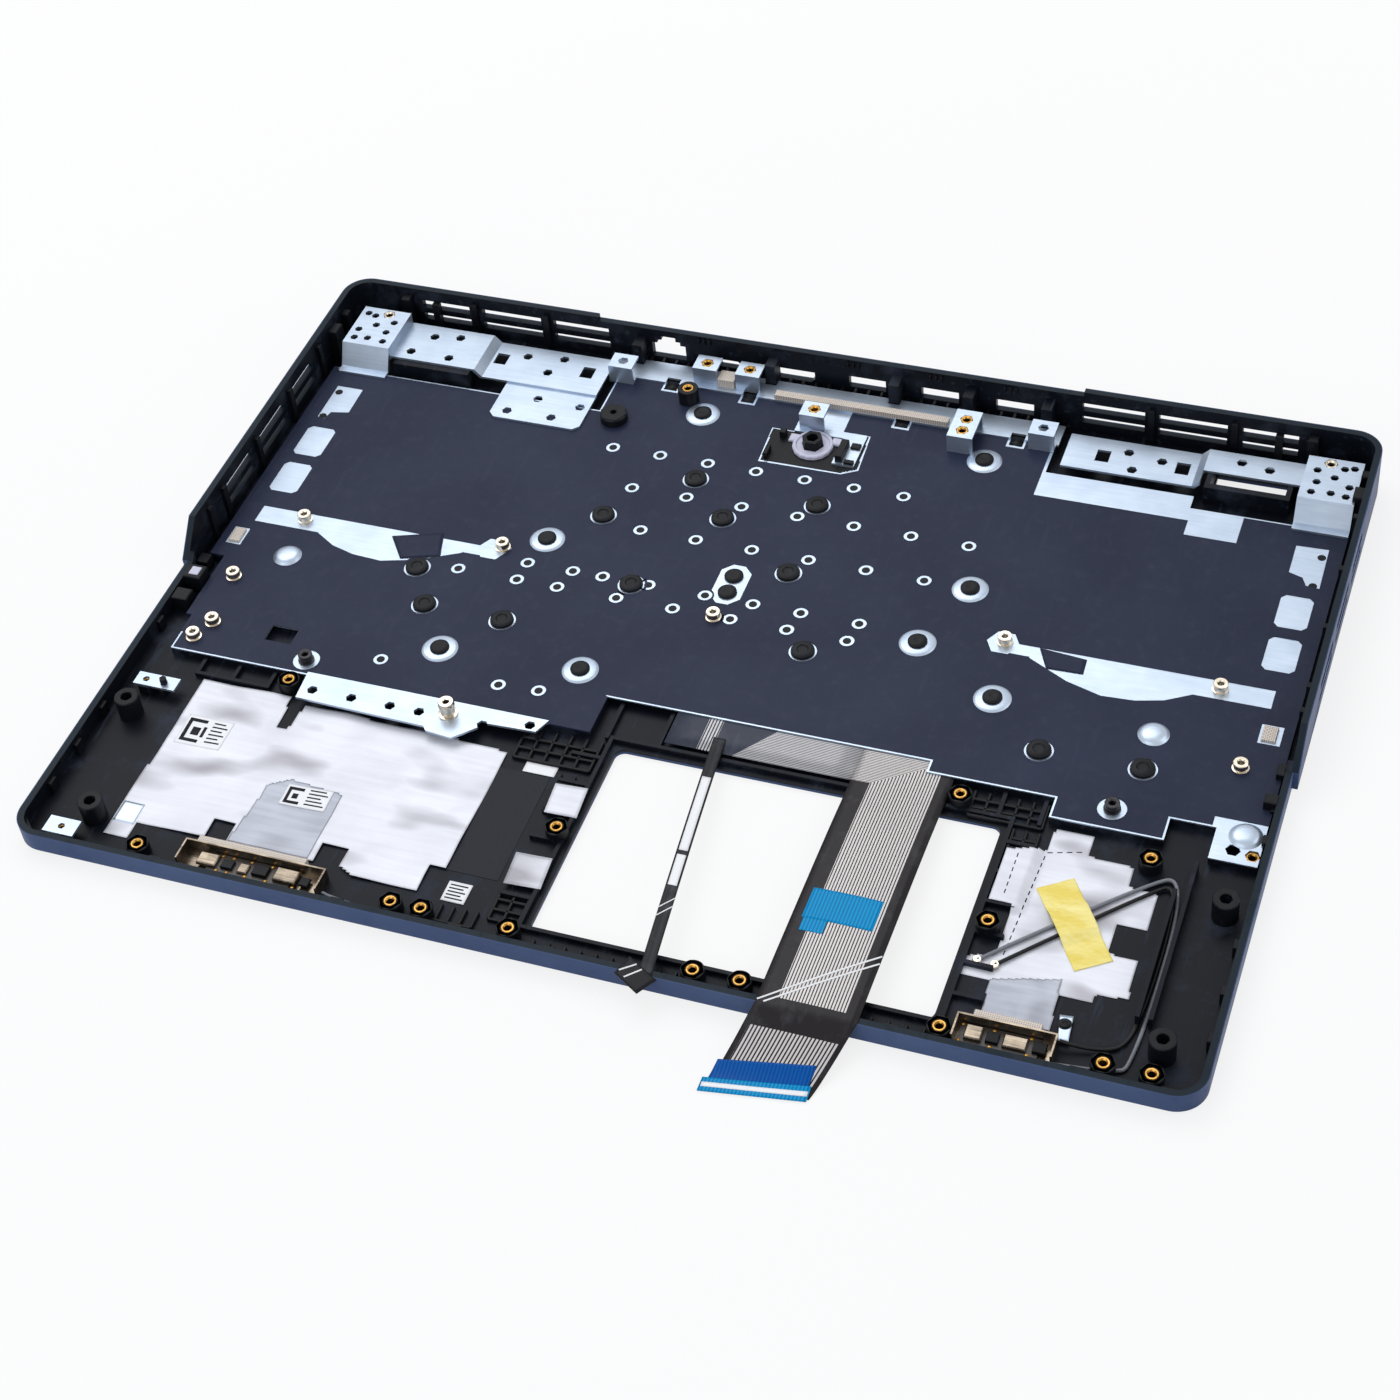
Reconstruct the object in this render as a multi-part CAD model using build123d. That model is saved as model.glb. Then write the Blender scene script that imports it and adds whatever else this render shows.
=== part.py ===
"""Laptop top case with its keyboard, lying key side down and seen from inside.

X runs to the right, Y to the hinge side and Z up, away from the deck's outer face at Z = 0.
All sizes are in millimetres. The user's left hand is at +X, because the case lies face down.
The case is one moulding. It is kept as pieces that meet face to face, the deck, the key frame, the
walls and the posts, so that each is plain and the space between them stays open.
"""

import os

from build123d import *

# Case moulding
WIDTH = 354.0             # side to side across the rear section
DEPTH = 253.0             # front lip to rear wall
FRONT_INSET = 1.6         # the palm-rest sides stand in from the rear section by this much
REAR_HEIGHT = 18.0
PORT_HEIGHT = 16.4        # lower rim over the ports
FRONT_HEIGHT = 7.6
SLOPE_TOP = 126.5         # the side walls come down between these distances from the rear
SLOPE_FOOT = 136.2
WALL = 2.2
DECK = 1.8
CORNER_R = 9.0
EDGE_CHAMFER = 1.0
RIB = 1.2
RIB_TOP = 3.4
RIB_PITCH = 11.0
RUNS = 6                  # the ledge and ribs are cut into runs, so that none reaches round a corner twice
PAD_RIB_GAP = 3.0         # touchpad window to the rib round it
CHANNEL_TOP = 6.0
CHANNEL_GAP = 2.4
PILLAR_W = 3.4
PILLAR_D = 5.5
PILLAR_TOP = 13.0
GUSSET = 5.5
CLEARANCE = 0.3
FEW_SIDES = 6             # sides of a small round that repeats
FEW_SIDED_BELOW = 5.6     # rounds under this radius get few sides
MORE_SIDES = 16           # sides of the power button's larger rounds

# Vents and ports in the rear and side walls
VENT_ROWS = ((5.6, 8.2), (10.4, 13.6))
REAR_VENTS = ((75.2, 95.4), (48.8, 70.6), (26.4, 44.0))       # from the side walls
SIDE_VENTS = ((87.2, 106.0), (62.3, 81.5), (40.3, 56.2))      # from the rear wall
PORT_Z = 5.2
PORT_RIM = (-85.0, 82.0)
WALL_JOINTS = (-72.0, -48.5, -28.6, -2.8, 21.8, 46.8, 70.0)   # the rear wall's pieces meet between ports
USB_A_X = (3.1, 27.9, 53.0)
USB_A_W, USB_A_H = 12.6, 4.4
NETWORK_X = (-66.1, -54.2)
NETWORK_STEPS = ((0.0, 11.0), (1.8, 12.4), (3.4, 14.0))       # inset and top of each step

# Keyboard layout
KEY_START = 13.0          # right wall to the first key's cell
KEY_END = 13.5            # last key's cell to the left wall
KEY_PITCH_Y = 18.2
KEY_GAP = 3.2             # between two caps
BOTTOM_ROW = 139.5        # rear wall to the middle of the space bar's row
MAIN_UNITS = 14.5
FUNCTION_GAP = 10.0
FUNCTION_KEYS = 14
NUMPAD_PITCH = 14.2
NUMPAD_GAP = 1.0
CAP_FACE_Z = 0.25
CAP_FOOT_Z = 2.3
CAP_DRAFT = 0.7           # the face is smaller than the foot by this much all round
WINDOW_CLEARANCE = 0.5
WELL_DEPTH = 1.2
WELL_WEB = 1.2
WELL_MARGIN = 0.6

# Stacked sheets behind the keys
SWITCH_Z = 4.0
SWITCH_T = 0.3
SHEET_MARGIN = 0.5
PLATE_T = 0.5
FILM_T = 0.15
FILM_MARGIN = 0.6
RING_FILM_R = 2.3
DIMPLE_R = 5.2
DIMPLE_RISE = 0.6
DOME_R = 4.0
DOME_RISE = 1.2
STAKE_R = 3.0
STAKE_HOLE_R = 1.8
STAKE_H = 1.0
SNAP_R = 3.6
SNAP_H = 1.3
SNAP_GAP = 0.7

# Screw hardware
INSERT_R = 1.9
INSERT_HOLE_R = 1.0
INSERT_L = 3.2
BOSS_WALL = 1.0
BOSS_TOP = 5.8
STANDOFF_R = 2.2
STANDOFF_HOLE_R = 0.9
STANDOFF_H = 2.8
DARK_GAP = 2.0            # bare ring of plate round a dark standoff
STUD_H = 5.4
TUBE_R = 3.2
TUBE_HOLE_R = 1.7
TUBE_TOP = 9.4
FILM_BOSS_TOP = 8.0
REAR_BOSS_TOP = 10.2
CLIP_Z = 5.0

# Sheet-metal brackets
SHEET = 0.8
HINGE_TOP = 13.2
HINGE_SHELF = 9.2
HINGE_STRIP = 6.6
HINGE_W = 17.2
HINGE_D = 19.5
HINGE_GAP = 9.5           # rear wall's outer face to the bracket
HINGE_HOLE_R = 1.2
HINGE_HOLES = ((13.5, 6.2), (5.5, 4.0), (2.6, 3.2), (7.8, 8.6), (2.7, 12.0), (12.8, 11.6), (3.0, 16.4),
               (7.7, 15.8), (13.6, 16.4))
HINGE_INSERT = (10.0, 2.4)
SHELF_HOLE_R = 1.5
LEFT_EDGE, LEFT_SHELF, LEFT_STRIP = 8.2, 56.0, 100.0
RIGHT_EDGE, RIGHT_SHELF, RIGHT_STRIP = 4.6, 52.5, 97.0
LEFT_HOLES = ((36.0, 15.0), (45.0, 13.5), (31.0, 24.0), (45.2, 24.4), (70.0, 14.5), (82.8, 13.0), (79.7, 20.8))
RIGHT_HOLES = ((41.7, 13.5), (32.7, 15.0), (77.3, 14.3), (66.3, 16.0), (74.6, 22.0))
FOOT_HOLES = ((65.2, 33.3), (81.1, 33.5), (73.1, 41.4), (88.9, 41.3), (96.5, 34.2))
TAB_TOP = 11.6
TAB_W = 8.4
TAB_D = 7.0

# Power button
POWER_X = 0.5
POWER_BACK = 33.5         # from the rear wall
POWER_CAP_R = 6.0
POWER_STEM_R = 3.0
POWER_STEM_TOP = 8.8
POWER_RING_R = 6.6
POWER_RING_H = 1.0

# Foil, tape, cables
FOIL_T = 0.15
TAPE_T = 0.12
TAPE_HALF = 5.5
TAPE_TURN = 34.0
RIBBON_T = 0.25
RIBBON_W = 28.4
COAX_R = 0.55
COAX_BEND = 2.2
LANE_INSET = 0.6
PCB_T = 0.8
ANT_TOP = 6.4
ANT_WALL = 0.5
GASKET_D = 2.6

PLATE_Z = SWITCH_Z + SWITCH_T
FILM_Z = PLATE_Z + PLATE_T
FILM_TOP = FILM_Z + FILM_T
WELL_TOP = WELL_DEPTH + WELL_WEB
FOIL_TOP = DECK + FOIL_T
COAX_Z = FOIL_TOP + FOIL_T + COAX_R
LANE_Z = DECK + COAX_R + 0.1
KEY_PITCH_X = (WIDTH - KEY_START - KEY_END - NUMPAD_GAP - 4 * NUMPAD_PITCH) / MAIN_UNITS
FUNCTION_PITCH = (MAIN_UNITS * KEY_PITCH_X - 4 * FUNCTION_GAP) / FUNCTION_KEYS

PARTS = {}


def left(d):
    """X at a distance d in from the left wall's outer face."""
    return -WIDTH / 2 + d


def right(d):
    return WIDTH / 2 - d


def front(d):
    return -DEPTH / 2 + d


def rear(d):
    return DEPTH / 2 - d


# Places on the keyboard's plate, measured back from the rear wall
RING_HOLES = ([(-63.0 + 16.45 * i, rear(49.4)) for i in range(7)]
              + [(-50.0 + 18.63 * i, rear(66.4)) for i in range(7)]
              + [(-40.4 + 18.62 * i, rear(84.5)) for i in range(6)]
              + [(x, rear(107.4)) for x in (-69.8, -54.5, -44.5, -29.3, -10.6, 5.0, 20.4, 39.0)]
              + [(x, rear(115.3)) for x in (-90.3, -70.3, -56.7, -37.0, -18.4, 0.3, 18.5, 37.6)]
              + [(-97.8, rear(158.5)), (-58.4, rear(159.3)), (-45.6, rear(158.5))])
SNAPS = [(-31.3, rear(57.7)), (10.5, rear(60.2)), (-54.3, rear(81.0)), (-16.7, rear(73.2)),
         (11.3, rear(91.8)), (26.1, rear(122.9)), (-34.5, rear(108.6)), (-67.8, rear(133.5)),
         (-94.2, rear(133.0)), (-103.2, rear(118.2)), (104.2, rear(143.8)), (134.3, rear(143.3))]
STAKES = [(-39.7, rear(27.0)), (56.0, rear(27.3)), (-67.6, rear(96.1)), (-81.7, rear(149.8)),
          (-36.4, rear(147.4)), (67.4, rear(84.9)), (58.4, rear(110.9)), (86.0, rear(127.5))]
TWIN_STAKES = [(-4.6, rear(97.3)), (-4.3, rear(104.5))]
STEEL_STANDOFFS = [(left(29.0), rear(106.5)), (left(96.9), rear(102.9)), (left(18.1), rear(136.6)),
                   (left(20.9), rear(157.1)), (left(17.9), rear(164.4)), (-4.8, rear(115.9)),
                   (right(93.6), rear(103.9)), (right(28.3), rear(107.0)), (right(16.4), rear(135.9))]
DARK_STANDOFFS = [(left(56.9), rear(164.7)), (right(47.5), rear(160.0))]
DOMES = [(left(30.8), rear(123.6)), (right(42.8), rear(129.3)), (right(9.8), rear(160.3))]
FILM_BOSS = (left(109.4), rear(36.1))
STUD = (left(109.0), rear(175.0))
PLATE_REAR = rear(33.0)
PLATE_MID_REAR = rear(14.0)
PLATE_FRONT = rear(155.5)
PLATE_TONGUE = rear(170.4)
HINGE_BAND = (right(101.0), right(53.6))
SQUARE_HOLE = (left(40.0), left(49.0), rear(159.9), rear(153.3))
TAB_SLOTS = (-54.7, -27.6, 25.2, 63.5)
EAR_HOLE = (right(12.2), rear(166.1))

# Bosses with brass inserts, and taller plain tubes near the side walls
FRONT_BOSS_Y = front(6.9)
BOSSES = [(left(55.5), rear(174.2)), (left(41.0), FRONT_BOSS_Y), (left(121.6), FRONT_BOSS_Y),
          (left(130.9), FRONT_BOSS_Y), (left(157.4), FRONT_BOSS_Y), (left(156.9), front(45.0)),
          (34.8, FRONT_BOSS_Y), (48.3, FRONT_BOSS_Y), (right(73.0), FRONT_BOSS_Y),
          (right(89.8), rear(166.1)), (right(70.2), front(44.7)), (right(29.1), FRONT_BOSS_Y),
          (right(16.3), FRONT_BOSS_Y), (right(32.9), rear(175.4))]
TUBES = [(left(12.2), rear(196.7)), (left(21.7), front(15.5)), (right(9.8), rear(187.2)),
         (right(15.6), front(15.8))]
EAR_INSERT = (right(6.6), rear(166.9))
TAB_INSERT = (left(12.4), rear(185.5))
TAB_POST = (left(18.6), rear(185.7))
CLIP_INSERT = (left(16.0), FRONT_BOSS_Y)
REAR_BOSS = (left(130.4), rear(21.1))
PILLARS = (-69.5, -22.5, 20.0, 45.0, 71.0)
PORT_TABS = ((-43.8, rear(9.0)), (-28.9, rear(9.0)))
END_TABS = ((left(105.2), rear(14.6)), (right(105.0), rear(14.6)))
TWIN_TAB = (47.2, rear(16.4), rear(21.8))
POWER_TAB = (-2.0, rear(23.0))
POWER_Y = rear(POWER_BACK)

# Palm rest: touchpad window, cable channel, antennas and flat cables
PAD_X0, PAD_X1 = left(161.5), right(76.0)
PAD_Y0, PAD_Y1 = front(10.7), rear(171.8)
PAD_R = 3.0
CHANNEL_X = right(23.5)
CHANNEL_FRONT = front(23.5)
ANT_Y = front(12.3)
LEFT_ANT = (left(54.6), left(99.4))
RIGHT_ANT = (right(69.4), right(42.2))
TAPE_MIDDLE = (right(48.0), front(52.1))
RIBBON_X = right(121.7)
RIBBON_BEND_Y = rear(162.5)
KEY_X = right(KEY_START)
ROW_Y = [rear(BOTTOM_ROW) + i * KEY_PITCH_Y for i in range(6)]
ARROW_ROW_Y = ROW_Y[0] - KEY_PITCH_Y
ARROW_X = KEY_X - 11.5 * KEY_PITCH_X
MAIN_END_X = KEY_X - MAIN_UNITS * KEY_PITCH_X
NUMPAD_X = MAIN_END_X - NUMPAD_GAP
NUMPAD_END_X = NUMPAD_X - 4 * NUMPAD_PITCH
SHEET_EDGE = ROW_Y[0] - KEY_PITCH_Y / 2 - SHEET_MARGIN
WIDE_PATH = [(SHEET_EDGE, SWITCH_Z), (RIBBON_BEND_Y, SWITCH_Z), (rear(186.5), 5.6), (front(31.5), 7.0),
             (front(WALL), FRONT_HEIGHT), (front(0), FRONT_HEIGHT), (front(-3.0), 6.4), (front(-12.0), 2.6),
             (front(-18.0), 0.6), (front(-21.0), 0.0), (front(-30.0), 0.0)]
NARROW_PATH = [(RIBBON_BEND_Y, SWITCH_Z + RIBBON_T), (rear(176.5), 5.4), (front(31.5), 7.3),
               (front(WALL), FRONT_HEIGHT), (front(0.4), FRONT_HEIGHT)]


# Plain shapes

def patch(x0, x1, y0, y1):
    """Rectangle between limits on the XY plane."""
    return Pos((x0 + x1) / 2, (y0 + y1) / 2) * Rectangle(abs(x1 - x0), abs(y1 - y0))


def polygon(*points):
    return make_face(Polyline(*points, close=True))


def slab(sketch, z0, z1):
    return extrude(Pos(0, 0, z0) * sketch, z1 - z0)


def block(x0, x1, y0, y1, z0, z1):
    return slab(patch(x0, x1, y0, y1), z0, z1)


def dot(r):
    """Round made with few sides, as wide across its flats as the circle that it stands for."""
    sides = FEW_SIDES if r < FEW_SIDED_BELOW else MORE_SIDES
    return RegularPolygon(r, sides, major_radius=False)


def clipped(x0, x1, y0, y1, corner):
    """Rectangle with its corners cut off."""
    sketch = chamfer(Rectangle(abs(x1 - x0), abs(y1 - y0)).vertices(), corner)
    return Pos((x0 + x1) / 2, (y0 + y1) / 2) * sketch


def disc(x, y, r, z0, z1):
    return slab(Pos(x, y) * dot(r), z0, z1)


def tube(x, y, r, hole_r, z0, z1):
    return slab(Pos(x, y) * (dot(r) - dot(hole_r)), z0, z1)


def blind_boss(x, y, r, hole_r, z0, z1, hole_z):
    """Round post with a hole down from its top."""
    return disc(x, y, r, z0, z1) - disc(x, y, hole_r, hole_z, z1 + 1)


def dots(places, r):
    return [Pos(x, y) * dot(r) for x, y in places]


def grown(sketch, margin):
    return offset(sketch, margin, kind=Kind.INTERSECTION)


def folded(points, y0, y1, thickness):
    """Sheet folded along an XZ path, given by its upper face from left to right."""
    lower = []
    for i, (x, z) in enumerate(points):
        before = points[max(i - 1, 0)]
        after = points[min(i + 1, len(points) - 1)]
        rise = (after[1] > z) - (after[1] < z) or (z > before[1]) - (z < before[1])
        lower.append((x + rise * thickness, z - thickness))
    outline = [(x, 0, z) for x, z in points] + [(x, 0, z) for x, z in reversed(lower)]
    face = make_face(Polyline(*outline, close=True))
    return extrude(Pos(0, y0, 0) * face, y1 - y0, dir=(0, 1, 0))


def ribbon(path, plan, lift, thickness):
    """Flat cable: a YZ path given by its lower face, as wide as its plan outline."""
    low = [(0, y, z + lift) for y, z in path]
    high = [(0, y, z + lift + thickness) for y, z in reversed(path)]
    face = make_face(Polyline(*low, *high, close=True))
    sheet = extrude(Pos(left(0), 0, 0) * face, WIDTH, dir=(1, 0, 0))
    return sheet & slab(plan, -1, REAR_HEIGHT)


def coax(*points):
    """Thin cable along a line whose corners are cut off."""
    corners = [Vector(*point) for point in points]
    line = [corners[0]]
    for before, corner, after in zip(corners, corners[1:], corners[2:]):
        line.append(corner + (before - corner).normalized() * COAX_BEND)
        line.append(corner + (after - corner).normalized() * COAX_BEND)
    path = Polyline(*line, corners[-1])
    section = Plane(origin=path @ 0, z_dir=path % 0) * RegularPolygon(COAX_R, FEW_SIDES)
    return sweep(section, path, transition=Transition.RIGHT)


# Key cells: name or None, middle x and y, width and depth of the cap

def row_cells(start, y, pitch, widths, depth=KEY_PITCH_Y):
    cells = []
    x = start
    for name, units in widths:
        span = units * pitch
        cells.append((name, x - span / 2, y, span - KEY_GAP, depth - KEY_GAP))
        x -= span
    return cells


def key_cells():
    plain = (None, 1.0)
    cells = row_cells(KEY_X, ROW_Y[0], KEY_PITCH_X, [
        ("left_ctrl_key", 1.25), plain, plain, ("left_alt_key", 1.25), ("space_bar", 4.75),
        ("right_alt_key", 1.25), ("right_ctrl_key", 1.0)])
    cells += row_cells(KEY_X, ROW_Y[1], KEY_PITCH_X,
                       [("left_shift_key", 2.25)] + [plain] * 10 + [("right_shift_key", 2.25)])
    cells += row_cells(KEY_X, ROW_Y[2], KEY_PITCH_X,
                       [("caps_lock_key", 1.75)] + [plain] * 11 + [("enter_key", 1.75)])
    cells += row_cells(KEY_X, ROW_Y[3], KEY_PITCH_X, [("tab_key", 1.5)] + [plain] * 13)
    cells += row_cells(KEY_X, ROW_Y[4], KEY_PITCH_X, [plain] * 13 + [("backspace_key", 1.5)])
    x = KEY_X
    for group in (["escape_key"], [None] * 4, [None] * 4, [None] * 4, ["delete_key"]):
        cells += row_cells(x, ROW_Y[5], FUNCTION_PITCH, [(name, 1.0) for name in group])
        x -= len(group) * FUNCTION_PITCH + FUNCTION_GAP
    cells += row_cells(ARROW_X - KEY_PITCH_X, ROW_Y[0], KEY_PITCH_X, [("up_key", 1.0)])
    cells += row_cells(ARROW_X, ARROW_ROW_Y, KEY_PITCH_X,
                       [("left_key", 1.0), ("down_key", 1.0), ("right_key", 1.0)])
    for y in ROW_Y[4:]:
        cells += row_cells(NUMPAD_X, y, NUMPAD_PITCH, [plain] * 4)
    for y in ROW_Y[1:4]:
        cells += row_cells(NUMPAD_X, y, NUMPAD_PITCH, [plain] * 3)
    cells += row_cells(NUMPAD_X, ROW_Y[0], NUMPAD_PITCH, [("numpad_zero_key", 2.0), plain])
    tall_x = NUMPAD_X - 3 * NUMPAD_PITCH
    for name, low_row in (("numpad_enter_key", 0), ("numpad_plus_key", 2)):
        middle = (ROW_Y[low_row] + ROW_Y[low_row + 1]) / 2
        cells += row_cells(tall_x, middle, NUMPAD_PITCH, [(name, 1.0)], 2 * KEY_PITCH_Y)
    return cells


CELLS = key_cells()


def keycap(x, y, width, depth, foot_z=CAP_FOOT_Z):
    """Cap tapering from its foot to the face that the finger meets."""
    at_foot = (Align.CENTER, Align.MIN, Align.CENTER)
    cap = Wedge(width, foot_z - CAP_FACE_Z, depth, CAP_DRAFT, CAP_DRAFT, width - CAP_DRAFT,
                depth - CAP_DRAFT, align=at_foot)
    return Pos(x, y, foot_z) * Rot(-90, 0, 0) * cap


def keyboard_area(margin):
    """The main block and the arrow keys' tongue that hold all the key cells."""
    half = KEY_PITCH_Y / 2 + margin
    area = patch(NUMPAD_END_X - margin, KEY_X + margin, ROW_Y[0] - half, ROW_Y[5] + half)
    return area + patch(MAIN_END_X - margin, ARROW_X + margin, ARROW_ROW_Y - half, ROW_Y[0])


def build_key_sheet():
    """Switch sheet with the like caps, which have no joint of their own, fused to it."""
    sheet = slab(keyboard_area(SHEET_MARGIN), SWITCH_Z, PLATE_Z)
    sheet -= disc(*FILM_BOSS, INSERT_R + 2 * BOSS_WALL + CLEARANCE, 0, FILM_Z)
    return sheet + [keycap(*cell[1:], foot_z=SWITCH_Z) for cell in CELLS if cell[0] is None]


# Case moulding

def case_outline():
    """Plan of the case: the rear section is wider than the palm rest."""
    rear_section = RectangleRounded(WIDTH, DEPTH, CORNER_R)
    rear_section &= patch(left(-1), right(-1), rear(SLOPE_FOOT), rear(-1))
    return RectangleRounded(WIDTH - 2 * FRONT_INSET, DEPTH, CORNER_R) + rear_section


def case_block():
    """The case's outer form, filled: high at the rear, sloping down to the palm rest."""
    profile = Plane.YZ * polygon((front(0), 0), (rear(0), 0), (rear(0), REAR_HEIGHT),
                                 (rear(SLOPE_TOP), REAR_HEIGHT), (rear(SLOPE_FOOT), FRONT_HEIGHT),
                                 (front(0), FRONT_HEIGHT))
    form = slab(case_outline(), 0, REAR_HEIGHT) & extrude(profile, WIDTH / 2, both=True)
    return chamfer(form.faces().sort_by(Axis.Z)[0].edges(), EDGE_CHAMFER)


def build_deck():
    """Flat outer skin with openings for the key frame, touchpad, power button and screen cable."""
    deck = case_block() & slab(case_outline(), 0, DECK)
    deck -= slab(keyboard_area(WELL_MARGIN + WELL_WEB), -1, DECK + 1)
    pad = Pos((PAD_X0 + PAD_X1) / 2, (PAD_Y0 + PAD_Y1) / 2)
    deck -= slab(pad * RectangleRounded(PAD_X1 - PAD_X0, PAD_Y1 - PAD_Y0, PAD_R), -1, DECK + 1)
    deck -= block(right(49.0), right(27.0), rear(22.5), rear(12.5), -1, DECK + 1)
    deck -= disc(POWER_X, POWER_Y, POWER_CAP_R + WINDOW_CLEARANCE, -1, DECK + 1)
    return deck - [disc(x, y, INSERT_R, top - INSERT_L, top) for x, y, top in boss_places()]


def build_key_frame():
    """Recessed well whose floor has a window for each key."""
    frame = slab(keyboard_area(WELL_MARGIN + WELL_WEB), 0, WELL_TOP)
    frame -= slab(keyboard_area(WELL_MARGIN), -1, WELL_DEPTH)
    windows = [Pos(x, y) * Rectangle(w + 2 * WINDOW_CLEARANCE, d + 2 * WINDOW_CLEARANCE)
               for _, x, y, w, d in CELLS]
    frame -= slab(Sketch() + windows, -1, WELL_TOP)
    return frame - disc(POWER_X, POWER_Y, POWER_CAP_R + WINDOW_CLEARANCE, -1, WELL_TOP + 1)


def wall_ring():
    """All four walls above the deck."""
    ring = case_block() - slab(case_outline(), -1, DECK)
    return ring - slab(grown(case_outline(), -WALL), 0, REAR_HEIGHT + 1)


def wall_slot(x0, x1, z0, z1):
    """Cutter through the rear wall."""
    return block(x0, x1, rear(WALL + 1), rear(-1), z0, z1)


def build_rear_wall():
    """Rear wall with its vents and ports, in pieces with one port each."""
    wall = wall_ring() & block(left(-1), right(-1), rear(WALL), rear(-1), 0, REAR_HEIGHT)
    wall -= wall_slot(*PORT_RIM, PORT_HEIGHT, REAR_HEIGHT + 1)
    for z0, z1 in VENT_ROWS:
        for a, b in REAR_VENTS:
            wall -= [wall_slot(left(a), left(b), z0, z1), wall_slot(right(b), right(a), z0, z1)]
    wall -= [wall_slot(x, x + USB_A_W, PORT_Z, PORT_Z + USB_A_H) for x in USB_A_X]
    for inset, top in NETWORK_STEPS:
        wall -= wall_slot(NETWORK_X[0] + inset, NETWORK_X[1] - inset, PORT_Z, top)
    video = Plane.XZ * polygon((-21.4, 4.4), (-10.2, 4.4), (-8.8, 5.8), (-8.8, 8.6), (-22.8, 8.6), (-22.8, 5.8))
    usb_c = Plane.XZ * clipped(-43.1, -34.5, 5.1, 8.1, 1.2)
    wall -= [Pos(0, rear(-1), 0) * extrude(face, WALL + 2) for face in (video, usb_c)]
    ends = [left(-1), *WALL_JOINTS, right(-1)]
    return Compound([wall & block(a, b, rear(WALL + 1), rear(-1), 0, REAR_HEIGHT)
                     for a, b in zip(ends, ends[1:])])


def build_edge_walls():
    """Left, right and front walls, the sides with their vents."""
    ring = wall_ring()
    walls = [ring & block(left(-1), 0, front(WALL), rear(WALL), 0, REAR_HEIGHT),
             ring & block(0, right(-1), front(WALL), rear(WALL), 0, REAR_HEIGHT)]
    for z0, z1 in VENT_ROWS:
        for a, b in SIDE_VENTS:
            walls[0] -= block(left(-1), left(WALL + 1), rear(b), rear(a), z0, z1)
            walls[1] -= block(right(WALL + 1), right(-1), rear(b), rear(a), z0, z1)
    return Compound(walls + [ring & block(left(-1), right(-1), front(-1), front(WALL), 0, REAR_HEIGHT)])


def boss_places():
    """Every boss that takes a brass insert, with the height of its top."""
    places = [(x, y, BOSS_TOP) for x, y in BOSSES]
    places += [(*EAR_INSERT, PLATE_Z), (*TAB_INSERT, CLIP_Z), (*CLIP_INSERT, CLIP_Z)]
    return places + [(*REAR_BOSS, REAR_BOSS_TOP)]


def ribbon_root():
    """Where the wide cable leaves the switch sheet, under the plate's front edge."""
    return patch(left(153.0), RIBBON_X + RIBBON_W, RIBBON_BEND_Y, SHEET_EDGE)


def case_ledge():
    """Rim under the edge of the support plate, open where the wide cable passes."""
    ledge = plate_area() - grown(plate_area(), -RIB)
    return ledge - grown(ribbon_root(), CLEARANCE)


def case_ribs():
    """Low ribs that stiffen the palm rest round the touchpad."""
    x0, x1 = PAD_X0 - PAD_RIB_GAP, PAD_X1 + PAD_RIB_GAP
    y1 = PAD_Y1 + PAD_RIB_GAP
    ribs = patch(x0, x1, PAD_Y0 - RIB, y1) - patch(x0 + RIB, x1 - RIB, PAD_Y0, y1 - RIB)
    for i in range(int((PAD_Y1 - PAD_Y0) / RIB_PITCH)):
        y = PAD_Y1 - RIB_PITCH * (i + 0.55)
        ribs += patch(x0 - 9.0, x0, y - RIB / 2, y + RIB / 2) + patch(x1, x1 + 8.0, y - RIB / 2, y + RIB / 2)
    for x in (PAD_X0 - 4.0, PAD_X0 + 12.0, PAD_X1 - 2.0, PAD_X1 + 10.0):
        ribs += patch(x - RIB / 2, x + RIB / 2, y1 - RIB, PLATE_FRONT)
    for x in (left(25.0), left(37.0), left(49.0)):
        ribs += patch(x - RIB / 2, x + RIB / 2, rear(177.4), PLATE_TONGUE)
    return ribs + patch(left(25.0), left(49.0), rear(177.4), rear(176.2))


def hinge_walls():
    """Walls that carry the hinge brackets' shelves."""
    walls = patch(left(27.0), left(54.5), rear(30.5), rear(26.3))
    walls += patch(right(51.0), right(49.4), rear(26.5), rear(11.0))
    walls += patch(right(26.0), right(24.4), rear(26.5), rear(11.0))
    return walls + patch(right(51.0), right(24.4), rear(26.5), rear(24.3))


def cable_channel():
    """Two walls that lead the antenna cables back from the front edge."""
    wall = patch(CHANNEL_X - RIB, CHANNEL_X, CHANNEL_FRONT, rear(184.5))
    far = CHANNEL_X + CHANNEL_GAP
    return wall + patch(far, far + RIB, CHANNEL_FRONT, rear(173.5))


def corner_gussets():
    """Webs across the front corners."""
    x, y = FRONT_INSET + WALL, WALL
    web = polygon((left(x), front(y)), (left(x + GUSSET), front(y)), (left(x), front(y + GUSSET)))
    return web + mirror(web, Plane.YZ)


def in_runs(sketch, z1):
    """Low rims on the deck, cut across into shorter runs."""
    ends = [left(WIDTH * i / RUNS) for i in range(RUNS + 1)]
    spans = [(front(0), rear(DEPTH / 2)), (rear(DEPTH / 2), rear(0))]
    cells = [patch(a, b, *span) for a, b in zip(ends, ends[1:]) for span in spans]
    return [slab(sketch & cell, DECK, z1) for cell in cells if (sketch & cell).faces()]


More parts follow.
